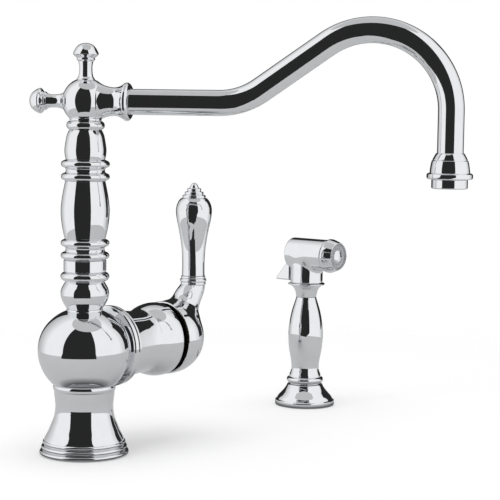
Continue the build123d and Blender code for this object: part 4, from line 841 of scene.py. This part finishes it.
# White paper that fades out into the white of the world, so that no edge of it shows.
def floorMaterial():
    material, tree = emptyMaterial("whitePaperFloor")
    place = addNode(tree, "ShaderNodeTexCoord")
    away = addNode(tree, "ShaderNodeVectorMath", {"operation": "DISTANCE", 1: Vector(floor["centre"]) * mm},
                   {0: place.outputs["Object"]})
    fade = addNode(tree, "ShaderNodeMapRange", {"From Min": floor["fadeStart"] * mm,
                                                "From Max": floor["fadeEnd"] * mm,
                                                "interpolation_type": "SMOOTHSTEP"},
                   {"Value": away.outputs["Value"]})
    ray = addNode(tree, "ShaderNodeLightPath")
    paper = addNode(tree, "ShaderNodeBsdfDiffuse", {"Color": linear(floor["paper"])})
    dim = addNode(tree, "ShaderNodeMath", {"operation": "MULTIPLY", 1: floor["lift"]},
                  {0: ray.outputs["Is Camera Ray"]})
    lift = addNode(tree, "ShaderNodeEmission", {"Color": linear("FFFFFF")}, {"Strength": dim.outputs[0]})
    both = addNode(tree, "ShaderNodeAddShader", links={0: paper.outputs[0], 1: lift.outputs[0]})
    clear = addNode(tree, "ShaderNodeBsdfTransparent")
    mixed = addNode(tree, "ShaderNodeMixShader",
                    links={0: fade.outputs["Result"], 1: both.outputs[0], 2: clear.outputs[0]})
    addNode(tree, "ShaderNodeOutputMaterial", links={"Surface": mixed.outputs[0]})
    return material


floorCorners = [(floor["centre"][0] + sx * floor["half"], floor["centre"][1] + sy * floor["half"], 0.0)
                for sx, sy in ((-1, -1), (1, -1), (1, 1), (-1, 1))]
stageSheet("paperFloor", floorCorners, [(0, 1, 2, 3)], floorMaterial(), isCard=False)


# Points of a level ring sector about the column, from degree to degree to the right of the camera's side.
def sector(near, far, start, end, height, count=73):
    turn = np.radians(np.linspace(start, end, count))[:, None]
    way = np.cos(turn) * toCamera + np.sin(turn) * toRight
    points = np.vstack([way * near, way * far]) + (0, 0, height)
    faces = [(k, k + 1, count + k + 1, count + k) for k in range(count - 1)]
    return points, faces


# the sector's arc as a wall that stands on the floor
def curvedWall(radius, start, end, top):
    points, faces = sector(radius, radius, start, end, 0.0)
    points[len(points) // 2:, 2] = top
    return points, faces


# The cards lie above one another where they meet. The mat is the grey that the lower halves reflect.
fullTurn = (0, 360)
innermost = 1.0   # a round card is a sector that starts this far from its centre
tableMat = {"radius": 560.0, "shift": 100.0, "height": 0.2, "grey": "CACACA"}
mat, matFaces = sector(innermost, tableMat["radius"], *fullTurn, tableMat["height"])
greyMat = cardMaterial("greyTableMat", tableMat["grey"])
stageSheet("tableMat", mat + (tableMat["shift"], 0, 0), matFaces, greyMat)

# the dark camera side gives each piece its black middle: a floor, a wall, and a shelf nearer the faucet that
# the handle and the hub look down on, while the ball sees it on edge
darkSide = {"reach": (-48.0, 33.0), "near": 310.0, "far": 1500.0, "height": 0.6, "top": 3900.0,
            "shelfNear": 175.0, "shelfHeight": 40.0, "black": "2B2B2B"}
blackCard = cardMaterial("blackFlagCard", darkSide["black"], glow=1.0)
darkFloor = sector(darkSide["near"], darkSide["far"], *darkSide["reach"], darkSide["height"])
darkShelf = sector(darkSide["shelfNear"], darkSide["far"], *darkSide["reach"], darkSide["shelfHeight"])
stageSheet("darkFloorCard", *darkFloor, blackCard)
stageSheet("darkShelfCard", *darkShelf, blackCard)
stageSheet("darkWallCard", *curvedWall(darkSide["far"], *darkSide["reach"], darkSide["top"]), blackCard)

# a grey card overhead, drawn along the spout, and a dark one behind that gives the right edges their line
ceiling = {"height": 1500.0, "radius": 700.0, "shift": 130.0, "grey": "CACACA"}
lid, lidFaces = sector(innermost, ceiling["radius"], *fullTurn, ceiling["height"])
lid[:, :2] += ceiling["shift"] * np.array([math.cos(spoutAngle), math.sin(spoutAngle)])
stageSheet("ceilingCard", lid, lidFaces, cardMaterial("greyCeilingCard", ceiling["grey"], glow=1.0))
darkBack = {"radius": 1300.0, "reach": (122.0, 211.0), "top": 1150.0}
stageSheet("darkBackCard", *curvedWall(darkBack["radius"], *darkBack["reach"], darkBack["top"]), blackCard)

# the mat is darker where the feet keep the light off it: place along X, and inner and outer radius, in mm
contactShade = {"columnShade": (0.0, 34.0, 62.0), "sprayShade": (sprayOffset, 26.6, 44.0)}
contactTone = {"dark": "5E5E5E", "height": 0.4}


# The mat's grey, darker towards a foot: the colour runs with the distance from its centre.
def contactMaterial(name, centre, near, far):
    material, tree = emptyMaterial(name)
    place = addNode(tree, "ShaderNodeTexCoord")
    away = addNode(tree, "ShaderNodeVectorMath", {"operation": "DISTANCE", 1: Vector(centre) * mm},
                   {0: place.outputs["Object"]})
    part = addNode(tree, "ShaderNodeMapRange", {"From Min": near * mm, "From Max": far * mm},
                   {"Value": away.outputs["Value"]})
    colour = addNode(tree, "ShaderNodeMix", {"data_type": "RGBA", 6: linear(contactTone["dark"]),
                                             7: linear(tableMat["grey"])}, {0: part.outputs["Result"]})
    shader = addNode(tree, "ShaderNodeBsdfDiffuse", links={"Color": colour.outputs[2]})
    addNode(tree, "ShaderNodeOutputMaterial", links={"Surface": shader.outputs[0]})
    return material


for name, (offset, near, far) in contactShade.items():
    ring, ringRows = sector(near, far, *fullTurn, contactTone["height"])
    stageSheet(name, ring + (offset, 0, 0), ringRows, contactMaterial(name, (offset, 0, 0), near, far))

# white where it is seen straight or in a mirror, dimmer as a lamp, and darker in mirrors on the far side
room = {"asLamp": 0.6, "farSide": 0.35, "farFrom": -1.0, "farTo": -0.2}
world = bpy.data.worlds.new("whiteSweep")
world.use_nodes = True
bpy.context.scene.world = world
tree = world.node_tree
tree.nodes.clear()
ray = addNode(tree, "ShaderNodeLightPath")
seen = addNode(tree, "ShaderNodeMath", {"operation": "MAXIMUM"},
               {0: ray.outputs["Is Camera Ray"], 1: ray.outputs["Is Glossy Ray"]})
seenThrough = addNode(tree, "ShaderNodeMath", {"operation": "MAXIMUM"},
                      {0: seen.outputs[0], 1: ray.outputs["Is Transmission Ray"]})
level = addNode(tree, "ShaderNodeMapRange", {"To Min": room["asLamp"], "To Max": 1.0},
                {"Value": seenThrough.outputs[0]})
way = addNode(tree, "ShaderNodeTexCoord")
front = addNode(tree, "ShaderNodeVectorMath", {"operation": "DOT_PRODUCT", 1: Vector(toCamera)},
                {0: way.outputs["Generated"]})
fall = addNode(tree, "ShaderNodeMapRange", {"From Min": room["farFrom"], "From Max": room["farTo"],
                                            "To Min": room["farSide"], "To Max": 1.0},
               {"Value": front.outputs["Value"]})
dimmed = addNode(tree, "ShaderNodeMix", {"data_type": "FLOAT", 2: 1.0},
                 {0: ray.outputs["Is Glossy Ray"], 3: fall.outputs["Result"]})
strength = addNode(tree, "ShaderNodeMath", {"operation": "MULTIPLY"},
                   {0: level.outputs["Result"], 1: dimmed.outputs[0]})
sky = addNode(tree, "ShaderNodeBackground", {"Color": linear("FFFFFF")}, {"Strength": strength.outputs[0]})
addNode(tree, "ShaderNodeOutputWorld", links={"Surface": sky.outputs[0]})

# places in mm, sizes in metres, powers in watts, all turned to the same point
lamps = {
    "overheadSoftbox": {"place": (100, -100, 1700), "size": 2.0, "power": 15.0},
    "leftSoftbox": {"place": (-1500, 300, 900), "size": 1.2, "power": 5.0},
}
lampAim = Vector((100, -60, 120)) * mm
for name, lamp in lamps.items():
    light = bpy.data.lights.new(name, "AREA")
    light.size, light.energy = lamp["size"], lamp["power"]
    lampObject = bpy.data.objects.new(name, light)
    bpy.context.scene.collection.objects.link(lampObject)
    lampObject.location = Vector(lamp["place"]) * mm
    lampObject.rotation_euler = (lampAim - lampObject.location).to_track_quat("-Z", "Y").to_euler()
    lampObject.visible_glossy = False
    lampObject.visible_camera = False

camera = bpy.data.cameras.new("photoCamera")
camera.lens = view["focalPixels"] / view["pictureWidth"] * view["sensor"]
camera.sensor_width = view["sensor"]
camera.clip_start, camera.clip_end = view["clipStart"], view["clipEnd"]
pitch, roll = math.radians(view["pitch"]), math.radians(view["roll"])
forward = -toCamera * math.cos(pitch) - np.array([0, 0, math.sin(pitch)])
upward = np.cross(toRight, forward)
turnedRight = toRight * math.cos(roll) + upward * math.sin(roll)
turnedUp = upward * math.cos(roll) - toRight * math.sin(roll)
cameraObject = bpy.data.objects.new("photoCamera", camera)
bpy.context.scene.collection.objects.link(cameraObject)
axes = Matrix((turnedRight, turnedUp, -forward)).transposed().to_4x4()
axes.translation = Vector(view["place"]) * mm
cameraObject.matrix_world = axes
bpy.context.scene.camera = cameraObject
bpy.context.scene.view_settings.view_transform = "Standard"
print("stage made")
